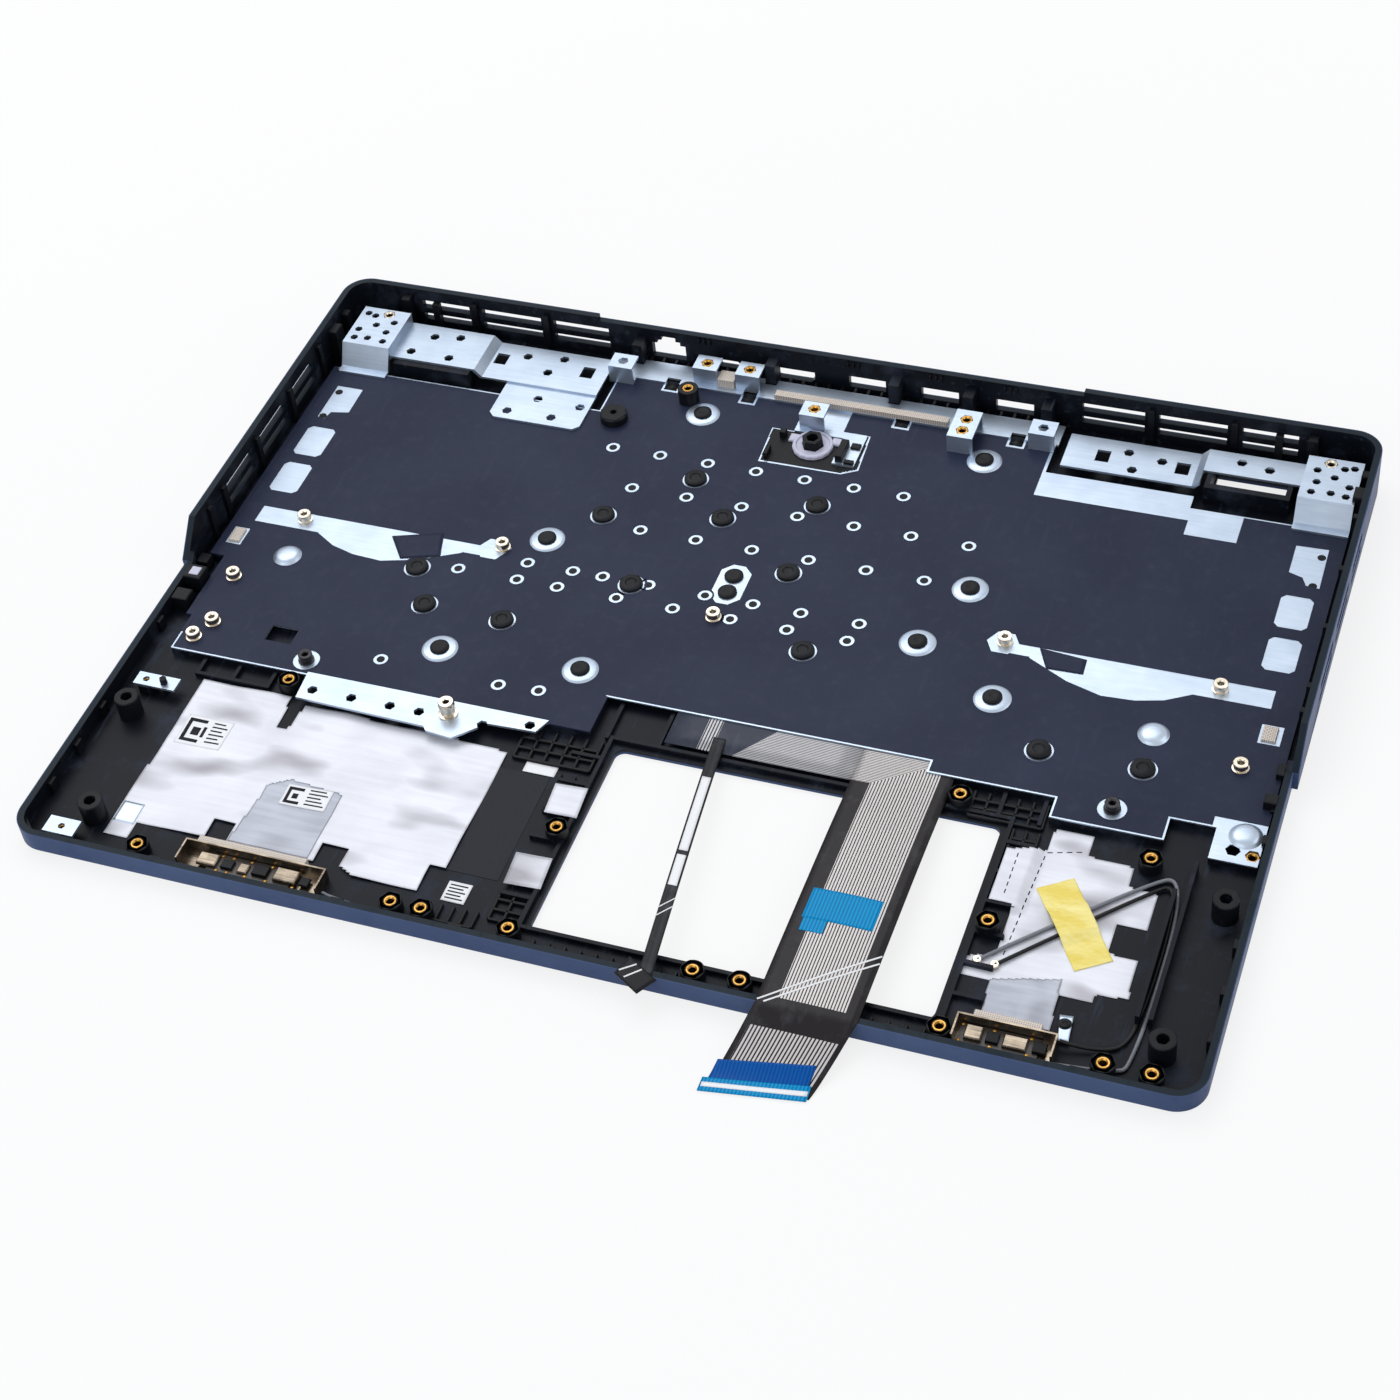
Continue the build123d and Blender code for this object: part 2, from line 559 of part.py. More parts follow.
def build_posts():
    """All that stands up inside the case. Each kind is cut clear of the kinds before it."""
    bosses = [blind_boss(x, y, INSERT_R + BOSS_WALL, INSERT_R, DECK, top, top - INSERT_L)
              for x, y, top in boss_places()]
    bosses += [blind_boss(x, y, TUBE_R, TUBE_HOLE_R, DECK, TUBE_TOP, DECK + 1) for x, y in TUBES]
    film_boss_r = INSERT_R + 2 * BOSS_WALL
    bosses += [blind_boss(*FILM_BOSS, film_boss_r, INSERT_HOLE_R, WELL_TOP, FILM_BOSS_TOP, PLATE_Z),
               disc(*TAB_POST, INSERT_HOLE_R, DECK, BOSS_TOP + 2)]
    pillars = [block(x - PILLAR_W / 2, x + PILLAR_W / 2, rear(WALL + PILLAR_D), rear(WALL), DECK, PILLAR_TOP)
               for x in PILLARS]
    walls = [slab(hinge_walls(), DECK, HINGE_SHELF - SHEET), slab(cable_channel(), DECK, CHANNEL_TOP),
             slab(corner_gussets(), DECK, BOSS_TOP)]
    room = slab(grown(case_outline(), -WALL), DECK, REAR_HEIGHT)
    taken = slab(keyboard_area(WELL_MARGIN + WELL_WEB), 0, WELL_TOP) + bosses
    taken += [disc(x, y, INSERT_R, 0, top) for x, y, top in boss_places()]
    pieces = [boss & room for boss in bosses]
    for kind in (pillars, walls, in_runs(case_ledge(), PLATE_Z), in_runs(case_ribs(), RIB_TOP)):
        cut = [(shape & room) - taken for shape in kind]
        pieces += [solid for shape in cut for solid in shape.solids()]
        taken += cut
    return Compound(pieces)


# Plate and film behind the keys

def plate_area():
    """Outline of the support plate: a main sheet with tongues front and rear."""
    area = patch(left(5.6), right(4.6), PLATE_FRONT, PLATE_REAR)
    area -= patch(left(5.6), left(10.8), PLATE_FRONT, rear(128.5))
    area += patch(left(12.8), left(152.5), PLATE_TONGUE, PLATE_FRONT)
    area += patch(right(101.6), right(63.8), rear(159.9), PLATE_FRONT)
    area += patch(right(63.8), right(31.2), rear(167.4), PLATE_FRONT)
    area += patch(right(31.2), right(4.6), rear(159.1), PLATE_FRONT)
    area += patch(right(18.2), right(4.6), rear(170.5), rear(154.5))
    area += patch(left(103.0), HINGE_BAND[0], PLATE_REAR, PLATE_MID_REAR)
    return area + patch(*HINGE_BAND, PLATE_REAR, rear(27.5))


def fan_window(side):
    """Long cut-out along a fan: a straight rear edge and a bulging front one."""
    body = polygon((side(61.0), rear(118.3)), (side(72.0), rear(115.1)), (side(85.0), rear(108.5)),
                   (side(85.0), rear(103.6)), (side(12.8), rear(103.6)), (side(12.8), rear(111.1)),
                   (side(35.5), rear(111.1)), (side(43.0), rear(115.5)), (side(51.0), rear(117.7)))
    body += patch(side(94.0), side(85.0), rear(108.1), rear(103.6))
    return body + Pos(side(94.0), rear(104.3)) * dot(4.4)


def film_windows():
    """Cut-outs in the film that leave the bright plate or its hardware open to view."""
    windows = [clipped(left(10.3), left(20.4), rear(y), rear(y - 14.3), 1.4) for y in (96.1, 77.7)]
    windows += [clipped(right(19.0), right(9.2), rear(y), rear(y - 14.0), 1.4) for y in (95.9, 77.6)]
    windows += [polygon((left(10.9), rear(42.1)), (left(20.3), rear(42.1)), (left(20.5), rear(54.3)),
                        (left(14.5), rear(55.5)), (left(13.6), rear(59.1)), (left(10.9), rear(58.6))),
                polygon((right(19.0), rear(41.7)), (right(9.1), rear(41.3)), (right(8.8), rear(58.9)),
                        (right(12.9), rear(58.5)), (right(14.5), rear(55.3)), (right(18.9), rear(53.9))),
                patch(left(8.0), left(13.3), rear(122.7), rear(114.9)),
                patch(right(14.0), right(7.6), rear(125.0), rear(117.3)),
                fan_window(left), fan_window(right), patch(*SQUARE_HOLE)]
    windows += [polygon((-15.4, rear(27.5)), (-14.7, rear(44.5)), (13.2, rear(44.3)), (18.2, rear(41.3)),
                        (17.2, rear(24.3)), (8.0, rear(24.3)), (8.0, rear(14.3)), (-8.0, rear(14.3)),
                        (-8.0, rear(27.5)))]
    windows += [patch(x - 3.0, x + 3.0, rear(18.7), rear(12.3)) for x in TAB_SLOTS]
    windows += [clipped(-9.4, 0.5, rear(109.6), rear(92.1), 3.0)]
    windows += dots(STAKES, DIMPLE_R + CLEARANCE)
    windows += dots(SNAPS, SNAP_R + SNAP_GAP)
    windows += dots(STEEL_STANDOFFS, STANDOFF_R + CLEARANCE)
    windows += dots(DARK_STANDOFFS, STANDOFF_R + DARK_GAP)
    windows += dots(DOMES, DOME_R + CLEARANCE)
    return windows + dots(RING_HOLES, RING_FILM_R)


def boss_windows():
    """Room in the plate and the film for the two bosses that pass through them."""
    return [Pos(*FILM_BOSS) * dot(INSERT_R + 2 * BOSS_WALL + CLEARANCE),
            Pos(*REAR_BOSS) * dot(INSERT_R + BOSS_WALL + CLEARANCE)]


def build_plate():
    holes = dots(STAKES + TWIN_STAKES, STAKE_HOLE_R) + boss_windows() + dots([EAR_INSERT, EAR_HOLE], INSERT_R)
    holes += [patch(*SQUARE_HOLE), patch(-14.2, -7.0, rear(43.5), rear(28.5)),
              Pos(POWER_X, POWER_Y) * dot(POWER_RING_R - 1.2)]
    plate = slab(plate_area() - holes, PLATE_Z, FILM_Z)
    for x, y in STAKES:
        rim = extrude(Pos(x, y, FILM_Z) * dot(DIMPLE_R), DIMPLE_RISE, taper=60)
        plate += rim - disc(x, y, STAKE_HOLE_R, PLATE_Z, FILM_Z + DIMPLE_RISE + 1)
    return plate + [extrude(Pos(x, y, FILM_Z) * dot(DOME_R), DOME_RISE, taper=45) for x, y in DOMES]


def build_film():
    film = grown(plate_area(), -FILM_MARGIN)
    film -= patch(HINGE_BAND[0] - 1, right(53.0), rear(38.8), rear(0))
    film -= patch(right(53.0), right(36.7), rear(45.3), rear(0))
    film -= patch(right(19.5), right(0), rear(176.5), rear(155.1))
    film -= patch(left(LEFT_STRIP), right(LEFT_STRIP), rear(15.0), rear(0))
    return slab(film - film_windows() - boss_windows(), FILM_Z, FILM_TOP)


# Sheet-metal brackets

def hinge_bracket(edge, shelf_end, strip_end, shelf_front, holes):
    """Left-hand bracket: a raised block, a shelf and a strip, folded from one sheet."""
    block_end = edge + HINGE_W
    block_front = rear(HINGE_GAP + HINGE_D)
    path = [(left(edge - 2), DECK + SHEET), (left(edge), DECK + SHEET), (left(edge), HINGE_TOP),
            (left(block_end), HINGE_TOP), (left(block_end), HINGE_SHELF), (left(shelf_end), HINGE_SHELF),
            (left(shelf_end + 2.5), HINGE_STRIP), (left(strip_end), HINGE_STRIP)]
    sheet = folded(path, block_front, rear(HINGE_GAP), SHEET)
    sheet -= block(left(block_end), left(strip_end) + 1, block_front - 1, shelf_front, 0, HINGE_TOP)
    apron = Plane.YZ * polygon((block_front, HINGE_TOP), (block_front + SHEET, HINGE_TOP),
                               (block_front - 2.6, FILM_TOP), (block_front - 6.5, FILM_TOP),
                               (block_front - 6.5, FILM_TOP + SHEET), (block_front - 3.6, FILM_TOP + SHEET))
    sheet += Pos(left(edge), 0, 0) * extrude(apron, HINGE_W)
    for dx, dy in HINGE_HOLES:
        sheet -= disc(left(edge + dx), rear(HINGE_GAP + dy), HINGE_HOLE_R, 0, HINGE_TOP + 1)
    dx, dy = HINGE_INSERT
    sheet -= disc(left(edge + dx), rear(HINGE_GAP + dy), INSERT_R, 0, HINGE_TOP + 1)
    return sheet - [disc(left(dx), rear(dy), SHELF_HOLE_R, 0, HINGE_TOP) for dx, dy in holes]


def strip_slot(x):
    """Cutter for a square slot in a hinge bracket's strip."""
    return block(left(x) - 2.2, left(x) + 2.2, rear(20.4), rear(15.0), 0, HINGE_TOP)


def build_left_hinge():
    sheet = hinge_bracket(LEFT_EDGE, LEFT_SHELF, LEFT_STRIP, rear(28.0), LEFT_HOLES)
    foot = clipped(left(67.6), left(99.8), rear(45.2), rear(24.0), 2.0)
    foot -= patch(left(60.0), left(99.8) + 1, rear(27.4), rear(0))
    foot += patch(left(67.6), left(99.8), rear(36.5), rear(27.4))
    foot -= dots([(left(x), rear(y)) for x, y in FOOT_HOLES], SHELF_HOLE_R)
    sheet += slab(foot, FILM_TOP, FILM_TOP + SHEET)
    sheet += block(left(67.6), left(99.8), rear(28.0), rear(27.0), FILM_TOP, HINGE_STRIP)
    return sheet - [strip_slot(61.6), strip_slot(93.0)]


def build_right_hinge():
    sheet = hinge_bracket(RIGHT_EDGE, RIGHT_SHELF, RIGHT_STRIP, rear(25.0), RIGHT_HOLES)
    sheet -= block(left(RIGHT_EDGE + HINGE_W), left(RIGHT_SHELF), rear(30.0), rear(19.6), 0, HINGE_TOP)
    return mirror(sheet - [strip_slot(59.4), strip_slot(84.9)], Plane.YZ)


def table(x, y, depth, foot_z):
    """Raised tab on a front leg, bent from the strip."""
    x0, x1 = x - TAB_W / 2, x + TAB_W / 2
    y0 = y - depth / 2
    leg = block(x0, x1, y0, y0 + SHEET, foot_z, TAB_TOP)
    return leg + block(x0, x1, y0, y0 + depth, TAB_TOP - SHEET, TAB_TOP)


def build_port_bracket():
    """Strip along the ports with raised tabs for screws."""
    strip_top = FILM_Z + SHEET
    strip = block(left(LEFT_STRIP), right(LEFT_STRIP), rear(15.0), rear(5.5), FILM_Z, strip_top)
    strip -= [block(x - 2.4, x + 2.4, rear(16.0), rear(12.5), 0, TAB_TOP) for x in TAB_SLOTS]
    half = PILLAR_W / 2 + CLEARANCE
    pillar_face = rear(WALL + PILLAR_D + CLEARANCE)
    strip -= [block(x - half, x + half, pillar_face, rear(0), 0, TAB_TOP) for x in PILLARS]
    for x, y in PORT_TABS:
        strip += table(x, y, TAB_D, FILM_Z)
        strip -= disc(x, y, INSERT_R, FILM_Z, TAB_TOP + 1)
    for x, y in END_TABS:
        strip += table(x, y, TAB_D, FILM_TOP)
        strip += block(x - TAB_W / 2, x + TAB_W / 2, y - TAB_D / 2, rear(14.0), FILM_TOP, strip_top)
        strip -= disc(x, y, 1.6, strip_top, TAB_TOP + 1)
    x, y0, y1 = TWIN_TAB
    strip += table(x, (y0 + y1) / 2, 12.6, FILM_TOP)
    strip += block(x - TAB_W / 2, x + TAB_W / 2, y0 + 2.8, rear(12.0), FILM_Z, TAB_TOP)
    return strip - [disc(x, y, INSERT_R, FILM_Z, TAB_TOP + 1) for y in (y0, y1)]


def build_power_bracket():
    plate = patch(9.0, 16.4, rear(40.5), rear(25.1)) + patch(-7.6, 16.4, rear(28.1), rear(25.1))
    plate -= Pos(POWER_X, POWER_Y) * dot(POWER_RING_R + CLEARANCE)
    bracket = slab(plate, FILM_Z, FILM_Z + SHEET) + table(POWER_TAB[0], POWER_TAB[1] - 0.2, TAB_D, FILM_Z)
    return bracket - disc(*POWER_TAB, INSERT_R, FILM_Z, TAB_TOP + 1)


def build_left_palm_bracket():
    strip = polygon((left(60.0), rear(169.8)), (left(139.4), rear(169.8)), (left(137.2), rear(175.1)),
                    (left(122.0), rear(175.7)), (left(113.5), rear(183.9)), (left(105.0), rear(183.1)),
                    (left(103.6), rear(181.5)), (left(60.8), rear(180.5)))
    strip -= dots([(left(x), rear(176.5)) for x in (64.6, 77.6, 90.4, 100.0, 120.6)], SHELF_HOLE_R)
    strip -= Pos(left(134.6), rear(173.1)) * dot(SHELF_HOLE_R)
    return slab(strip, FILM_Z, FILM_Z + SHEET)


def clip_plate(x, y, width, depth, holes):
    """Small flat clip screwed on a boss."""
    plate = Pos(x, y) * Rectangle(width, depth) - [Pos(hx, hy) * dot(r) for hx, hy, r in holes]
    return slab(plate, CLIP_Z, CLIP_Z + SHEET)


# Screw hardware, stakes and power button

def build_inserts():
    """Brass inserts of the plastic bosses and of the raised steel tabs."""
    tops = boss_places() + [(x, y, TAB_TOP) for x, y in PORT_TABS]
    tops += [(TWIN_TAB[0], TWIN_TAB[1], TAB_TOP), (TWIN_TAB[0], TWIN_TAB[2], TAB_TOP), (*POWER_TAB, TAB_TOP)]
    rings = [tube(x, y, INSERT_R, INSERT_HOLE_R, top - INSERT_L, top) for x, y, top in tops]
    ring = dot(INSERT_R) - Circle(INSERT_HOLE_R)
    for x in (left(LEFT_EDGE + HINGE_INSERT[0]), right(RIGHT_EDGE + HINGE_INSERT[0])):
        rings.append(slab(Pos(x, rear(HINGE_GAP + HINGE_INSERT[1])) * ring, HINGE_TOP - INSERT_L, HINGE_TOP))
    return Compound(rings)


def build_standoffs(places):
    return Compound([tube(x, y, STANDOFF_R, STANDOFF_HOLE_R, FILM_Z, FILM_Z + STANDOFF_H) for x, y in places])


def build_stakes():
    """Melted heads on their dimples and between the keys, and the larger round snaps."""
    rim_z = FILM_Z + DIMPLE_RISE
    heads = [disc(x, y, STAKE_R, rim_z, rim_z + STAKE_H) for x, y in STAKES]
    heads += [disc(x, y, STAKE_R, FILM_Z, FILM_Z + STAKE_H) for x, y in TWIN_STAKES]
    return Compound(heads + [disc(x, y, SNAP_R, FILM_Z, FILM_Z + SNAP_H) for x, y in SNAPS])


def build_power_button():
    cap = disc(POWER_X, POWER_Y, POWER_CAP_R, CAP_FACE_Z, CAP_FOOT_Z)
    return cap + tube(POWER_X, POWER_Y, POWER_STEM_R, POWER_STEM_R - 1.2, CAP_FOOT_Z, POWER_STEM_TOP)


# Foil and tape on the palm rest

def left_foil_area():
    area = polygon((left(27.8), front(75.2)), (left(58.0), front(75.2)), (left(58.4), front(62.5)),
                   (left(62.2), front(62.5)), (left(63.4), front(70.5)), (left(112.0), front(69.1)),
                   (left(130.5), front(69.1)), (left(130.5), front(24.3)), (left(125.6), front(24.3)),
                   (left(125.6), front(14.5)), (left(105.6), front(14.5)), (left(100.6), front(17.1)),
                   (left(100.6), front(24.1)), (left(92.2), front(24.1)), (left(92.2), front(17.1)),
                   (left(64.2), front(17.1)), (left(64.2), front(24.1)), (left(57.1), front(24.1)),
                   (left(57.1), front(17.1)), (left(27.0), front(17.1)))
    return area + patch(left(27.0), left(34.5), front(10.5), front(24.5))


def right_foil_area():
    return polygon((right(61.2), front(84.1)), (right(50.4), front(84.1)), (right(50.4), front(76.7)),
                   (right(36.8), front(75.9)), (right(36.8), front(68.9)), (right(28.4), front(68.1)),
                   (right(28.4), front(55.2)), (right(37.0), front(55.2)), (right(37.0), front(44.9)),
                   (right(28.8), front(44.5)), (right(28.2), front(31.3)), (right(37.2), front(30.3)),
                   (right(37.2), front(27.9)), (right(66.2), front(27.7)), (right(73.6), front(27.9)),
                   (right(73.6), front(34.3)), (right(65.8), front(36.5)), (right(65.8), front(53.7)),
                   (right(72.6), front(53.7)), (right(72.6), front(72.3)), (right(61.8), front(75.5)))


def laid_on_deck(area, thickness):
    """Thin sheet on the deck, cut round the plate's ledge, ribs, channel, bosses and tubes."""
    around = dots([(x, y) for x, y, _ in boss_places()], INSERT_R + BOSS_WALL + CLEARANCE)
    around += dots(TUBES, TUBE_R + CLEARANCE)
    around += [grown(case_ribs(), CLEARANCE), grown(cable_channel(), CLEARANCE), grown(plate_area(), CLEARANCE)]
    return slab(area - around, DECK, DECK + thickness)


def build_yellow_tape():
    """Crepe tape over the two cables: flat ends and a raised middle."""
    hump = COAX_Z + COAX_R
    path = [(-15.2, FOIL_TOP), (-6.6, FOIL_TOP), (-3.6, hump), (4.6, hump), (7.6, FOIL_TOP), (15.2, FOIL_TOP)]
    outline = [(0, s, z) for s, z in path] + [(0, s, z + TAPE_T) for s, z in reversed(path)]
    tape = extrude(make_face(Polyline(*outline, close=True)), TAPE_HALF, both=True, dir=(1, 0, 0))
    return Pos(*TAPE_MIDDLE, 0) * Rot(0, 0, TAPE_TURN) * tape


def build_labels():
    """Two labels on the foil and one on the deck."""
    areas = [(patch(left(30.4), left(45.6), front(48.9), front(60.3)), FOIL_TOP),
             (patch(left(73.4), left(88.2), front(34.5), front(42.1)), FOIL_TOP + FOIL_T),
             (patch(left(133.4), left(140.6), front(13.7), front(20.9)), DECK)]
    return Compound([slab(area, z, z + TAPE_T) for area, z in areas])


# Antennas at the front edge

def antenna_bracket(x0, x1):
    """Sheet trough: a floor, a back wall and two ears."""
    y0 = front(4.6)
    trough = block(x0, x1, y0, ANT_Y, DECK, DECK + ANT_WALL)
    trough += block(x0, x1, ANT_Y - ANT_WALL, ANT_Y, DECK, ANT_TOP)
    return trough + [block(x, x + ANT_WALL, y0, ANT_Y, DECK, ANT_TOP) for x in (x0, x1 - ANT_WALL)]


def antenna_board(x0, x1):
    floor = DECK + ANT_WALL
    return block(x0, x1, front(4.8), ANT_Y - ANT_WALL - CLEARANCE, floor, floor + PCB_T)


def antenna_tail(x0, x1, y0, y1):
    """Foil that grounds an antenna on the larger shield."""
    return slab(patch(x0, x1, y0, y1), FOIL_TOP, FOIL_TOP + FOIL_T)


def build_gaskets():
    """Woven gaskets behind the ports and against the antenna troughs."""
    strip_top = FILM_Z + SHEET
    return Compound([
        block(-18.8, 40.2, rear(14.8), rear(12.0), strip_top, strip_top + 1.8),
        block(-39.4, -33.6, rear(13.0), rear(8.0), strip_top, strip_top + 3.0),
        block(LEFT_ANT[0] + 3.0, left(92.0), ANT_Y, ANT_Y + GASKET_D, FOIL_TOP, ANT_TOP - 1.0),
        block(RIGHT_ANT[0] + 4.0, right(47.0), ANT_Y, ANT_Y + GASKET_D, DECK, ANT_TOP - 1.0)])


def build_right_cable():
    lane = CHANNEL_X + LANE_INSET
    return coax((right(65.0), front(32.5), COAX_Z), (right(32.0), front(67.1), COAX_Z),
                (lane, rear(179.5), LANE_Z + 0.4), (lane, front(19.5), LANE_Z),
                (right(30.0), front(11.5), LANE_Z), (right(41.8), front(11.5), LANE_Z + 2.0))


def build_left_cable():
    lane = CHANNEL_X + CHANNEL_GAP - LANE_INSET
    edge = front(WALL + 0.9)
    return coax((right(70.0), front(32.9), COAX_Z), (right(33.4), front(70.1), COAX_Z),
                (lane, rear(176.5), LANE_Z + 0.4), (lane, front(14.5), LANE_Z), (lane - 4.0, edge, LANE_Z),
                (left(107.0), edge, LANE_Z), (left(100.4), front(6.0), LANE_Z + 1.0))


# Flat cables

def wide_plan():
    """The wide cable's root under the plate, its run to the front lip and its skewed tail."""
    x0, x1 = RIBBON_X, RIBBON_X + RIBBON_W
    return ribbon_root() + polygon((x0, RIBBON_BEND_Y), (x1, RIBBON_BEND_Y), (x1, front(0)),
                                   (x1 - 8.3, front(-22.6)), (x0 - 6.6, front(-26.8)), (x0, front(0)))


def tail_plan(y_from, y_to):
    """Part of the wide cable's skewed tail, measured out from the front lip."""
    x0, x1 = RIBBON_X - 7.0, RIBBON_X + RIBBON_W - 8.0
    return polygon((x0, front(-y_from)), (x1, front(-y_from + 4.2)), (x1, front(-y_to + 4.2)),
                   (x0, front(-y_to)))


def patch_plan():
    """L-shaped patch on the wide cable's run."""
    x = RIBBON_X
    return polygon((x + 2.9, front(41.9)), (x + 23.1, front(41.9)), (x + 23.1, front(30.9)),
                   (x + 10.3, front(30.9)), (x + 10.3, front(26.3)), (x + 3.5, front(26.3)))


def narrow_plan():
    return polygon((11.6, RIBBON_BEND_Y), (15.4, RIBBON_BEND_Y), (25.6, front(0.4)), (21.8, front(0.4)))


PARTS["top_case"] = build_deck()
PARTS["key_frame"] = build_key_frame()
PARTS["rear_wall"] = build_rear_wall()
PARTS["edge_walls"] = build_edge_walls()
PARTS["case_posts"] = build_posts()
PARTS["keyboard_plate"] = build_plate()
PARTS["insulating_film"] = build_film()
PARTS["key_sheet"] = build_key_sheet()
for cell_name, *cell in CELLS:
    if cell_name:
        PARTS[cell_name] = keycap(*cell)
PARTS["power_button"] = build_power_button()
PARTS["power_light_ring"] = tube(POWER_X, POWER_Y, POWER_RING_R, POWER_STEM_R + CLEARANCE, FILM_Z,
                                 FILM_Z + POWER_RING_H)
PARTS["left_hinge_bracket"] = build_left_hinge()
PARTS["right_hinge_bracket"] = build_right_hinge()
PARTS["port_bracket"] = build_port_bracket()
PARTS["power_bracket"] = build_power_bracket()
PARTS["left_palm_bracket"] = build_left_palm_bracket()
PARTS["brass_inserts"] = build_inserts()
PARTS["steel_standoffs"] = build_standoffs(STEEL_STANDOFFS)
PARTS["dark_standoffs"] = build_standoffs(DARK_STANDOFFS)
PARTS["palm_stud"] = tube(*STUD, STANDOFF_R, STANDOFF_HOLE_R, FILM_Z + SHEET, FILM_Z + SHEET + STUD_H)
PARTS["stake_heads"] = build_stakes()
PARTS["left_ear_tab"] = clip_plate(left(16.0), rear(185.5), 14.0, 5.0,
                                   [(*TAB_INSERT, INSERT_HOLE_R), (*TAB_POST, INSERT_HOLE_R + 0.1)])
PARTS["corner_clip"] = clip_plate(left(16.0), front(7.0), 10.0, 6.0, [(*CLIP_INSERT, INSERT_HOLE_R)])
PARTS["left_foil"] = laid_on_deck(left_foil_area(), FOIL_T)
PARTS["right_foil"] = laid_on_deck(right_foil_area(), FOIL_T)
PARTS["left_antenna_bracket"] = antenna_bracket(*LEFT_ANT)
PARTS["left_antenna_board"] = antenna_board(left(63.4), left(89.8))
PARTS["right_antenna_bracket"] = antenna_bracket(*RIGHT_ANT)
PARTS["right_antenna_board"] = antenna_board(right(68.0), right(46.4))
PARTS["left_antenna_tail"] = antenna_tail(left(64.4), left(90.0), front(17.1), front(42.3))
PARTS["right_antenna_tail"] = antenna_tail(right(65.0), right(46.4), front(27.9), front(39.5))
PARTS["foam_gaskets"] = build_gaskets()
PARTS["keyboard_ribbon"] = ribbon(WIDE_PATH, wide_plan(), 0, RIBBON_T)
PARTS["ribbon_patch"] = ribbon(WIDE_PATH, patch_plan(), RIBBON_T, TAPE_T)
PARTS["ribbon_stiffener"] = ribbon(WIDE_PATH, tail_plan(21.4, 26.4), RIBBON_T, RIBBON_T)
PARTS["backlight_ribbon"] = ribbon(NARROW_PATH, narrow_plan(), 0, RIBBON_T)
PARTS["black_tape"] = laid_on_deck(patch(left(130.6), left(146.6), front(24.5), front(64.9)), TAPE_T)
PARTS["yellow_tape"] = build_yellow_tape()
PARTS["labels"] = build_labels()
PARTS["right_antenna_cable"] = build_right_cable()
PARTS["left_antenna_cable"] = build_left_cable()

os.makedirs("parts", exist_ok=True)
for name, shape in PARTS.items():
    export_step(shape, f"parts/{name}.step")
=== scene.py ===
"""Looks of a laptop's top case, lying key side down with its inside open to view.

Places are written in millimetres in the CAD frame and become metres when a mesh is made.
X runs along the long side, Y to the hinge side and Z up into the open inside.
"""

import math

import bmesh
import bpy
import numpy as np
from mathutils import Matrix


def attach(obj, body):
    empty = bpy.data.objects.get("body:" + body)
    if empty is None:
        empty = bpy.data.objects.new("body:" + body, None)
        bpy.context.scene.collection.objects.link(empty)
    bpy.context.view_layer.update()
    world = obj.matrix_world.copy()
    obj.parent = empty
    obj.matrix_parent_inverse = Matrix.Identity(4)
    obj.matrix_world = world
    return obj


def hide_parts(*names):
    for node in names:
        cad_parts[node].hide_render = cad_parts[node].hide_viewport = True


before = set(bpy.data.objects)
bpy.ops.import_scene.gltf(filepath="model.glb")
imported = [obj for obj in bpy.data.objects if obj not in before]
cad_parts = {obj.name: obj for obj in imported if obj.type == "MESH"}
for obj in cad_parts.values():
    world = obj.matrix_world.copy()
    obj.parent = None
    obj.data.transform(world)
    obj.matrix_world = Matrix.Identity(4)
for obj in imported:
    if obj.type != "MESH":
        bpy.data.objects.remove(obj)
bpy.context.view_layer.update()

MM = 0.001
# Plan of the case: its outside, the step in the side walls, its corners and the walls' inner face
WIDTH, DEPTH = 354.0, 253.0
STEP_Y, STEP_IN = -9.7, 1.6
CORNER, WALL = 9.0, 2.1
# Heights above the table
DECK, FOIL_TOP, BOARD_TOP, RIB_TOP = 1.8, 1.95, 3.1, 3.4
PLATE_TOP, FILM_TOP, BOSS_TOP = 4.8, 4.95, 5.8
RIM_Z, FILM_BOSS_TOP, TUBE_TOP = 7.6, 8.0, 9.4
REAR_BOSS_TOP, TAB_TOP, HINGE_TOP, HOOK_TOP = 10.2, 11.6, 13.2, 15.6


def left(d):
    """X at a distance in from the left wall's outer face."""
    return -WIDTH / 2 + d


def right(d):
    """X at a distance in from the right wall's outer face."""
    return WIDTH / 2 - d


def front(d):
    """Y at a distance in from the front wall's outer face."""
    return -DEPTH / 2 + d


def rear(d):
    """Y at a distance in from the rear wall's outer face."""
    return DEPTH / 2 - d


# Meshes from arrays

def add_object(name, data):
    """Puts a mesh, curve, lamp or camera into the scene."""
    item = bpy.data.objects.new(name, data)
    bpy.context.collection.objects.link(item)
    return item


def quads_of(rows, columns, wrap_rows=False, wrap_columns=False):
    """Faces of a grid of points numbered row by row, joined round where it wraps."""
    i = np.arange(rows if wrap_rows else rows - 1)
    j = np.arange(columns if wrap_columns else columns - 1)
    i, j = (a.ravel() for a in np.meshgrid(i, j, indexing="ij"))
    here, below = i * columns, (i + 1) % rows * columns
    beside = (j + 1) % columns
    return np.stack([here + j, here + beside, below + beside, below + j], -1)


def repeated(quads, step, count):
    """Faces of a shape that comes several times, each time on its own run of points."""
    return (quads[None] + step * np.arange(count)[:, None, None]).reshape(-1, 4)


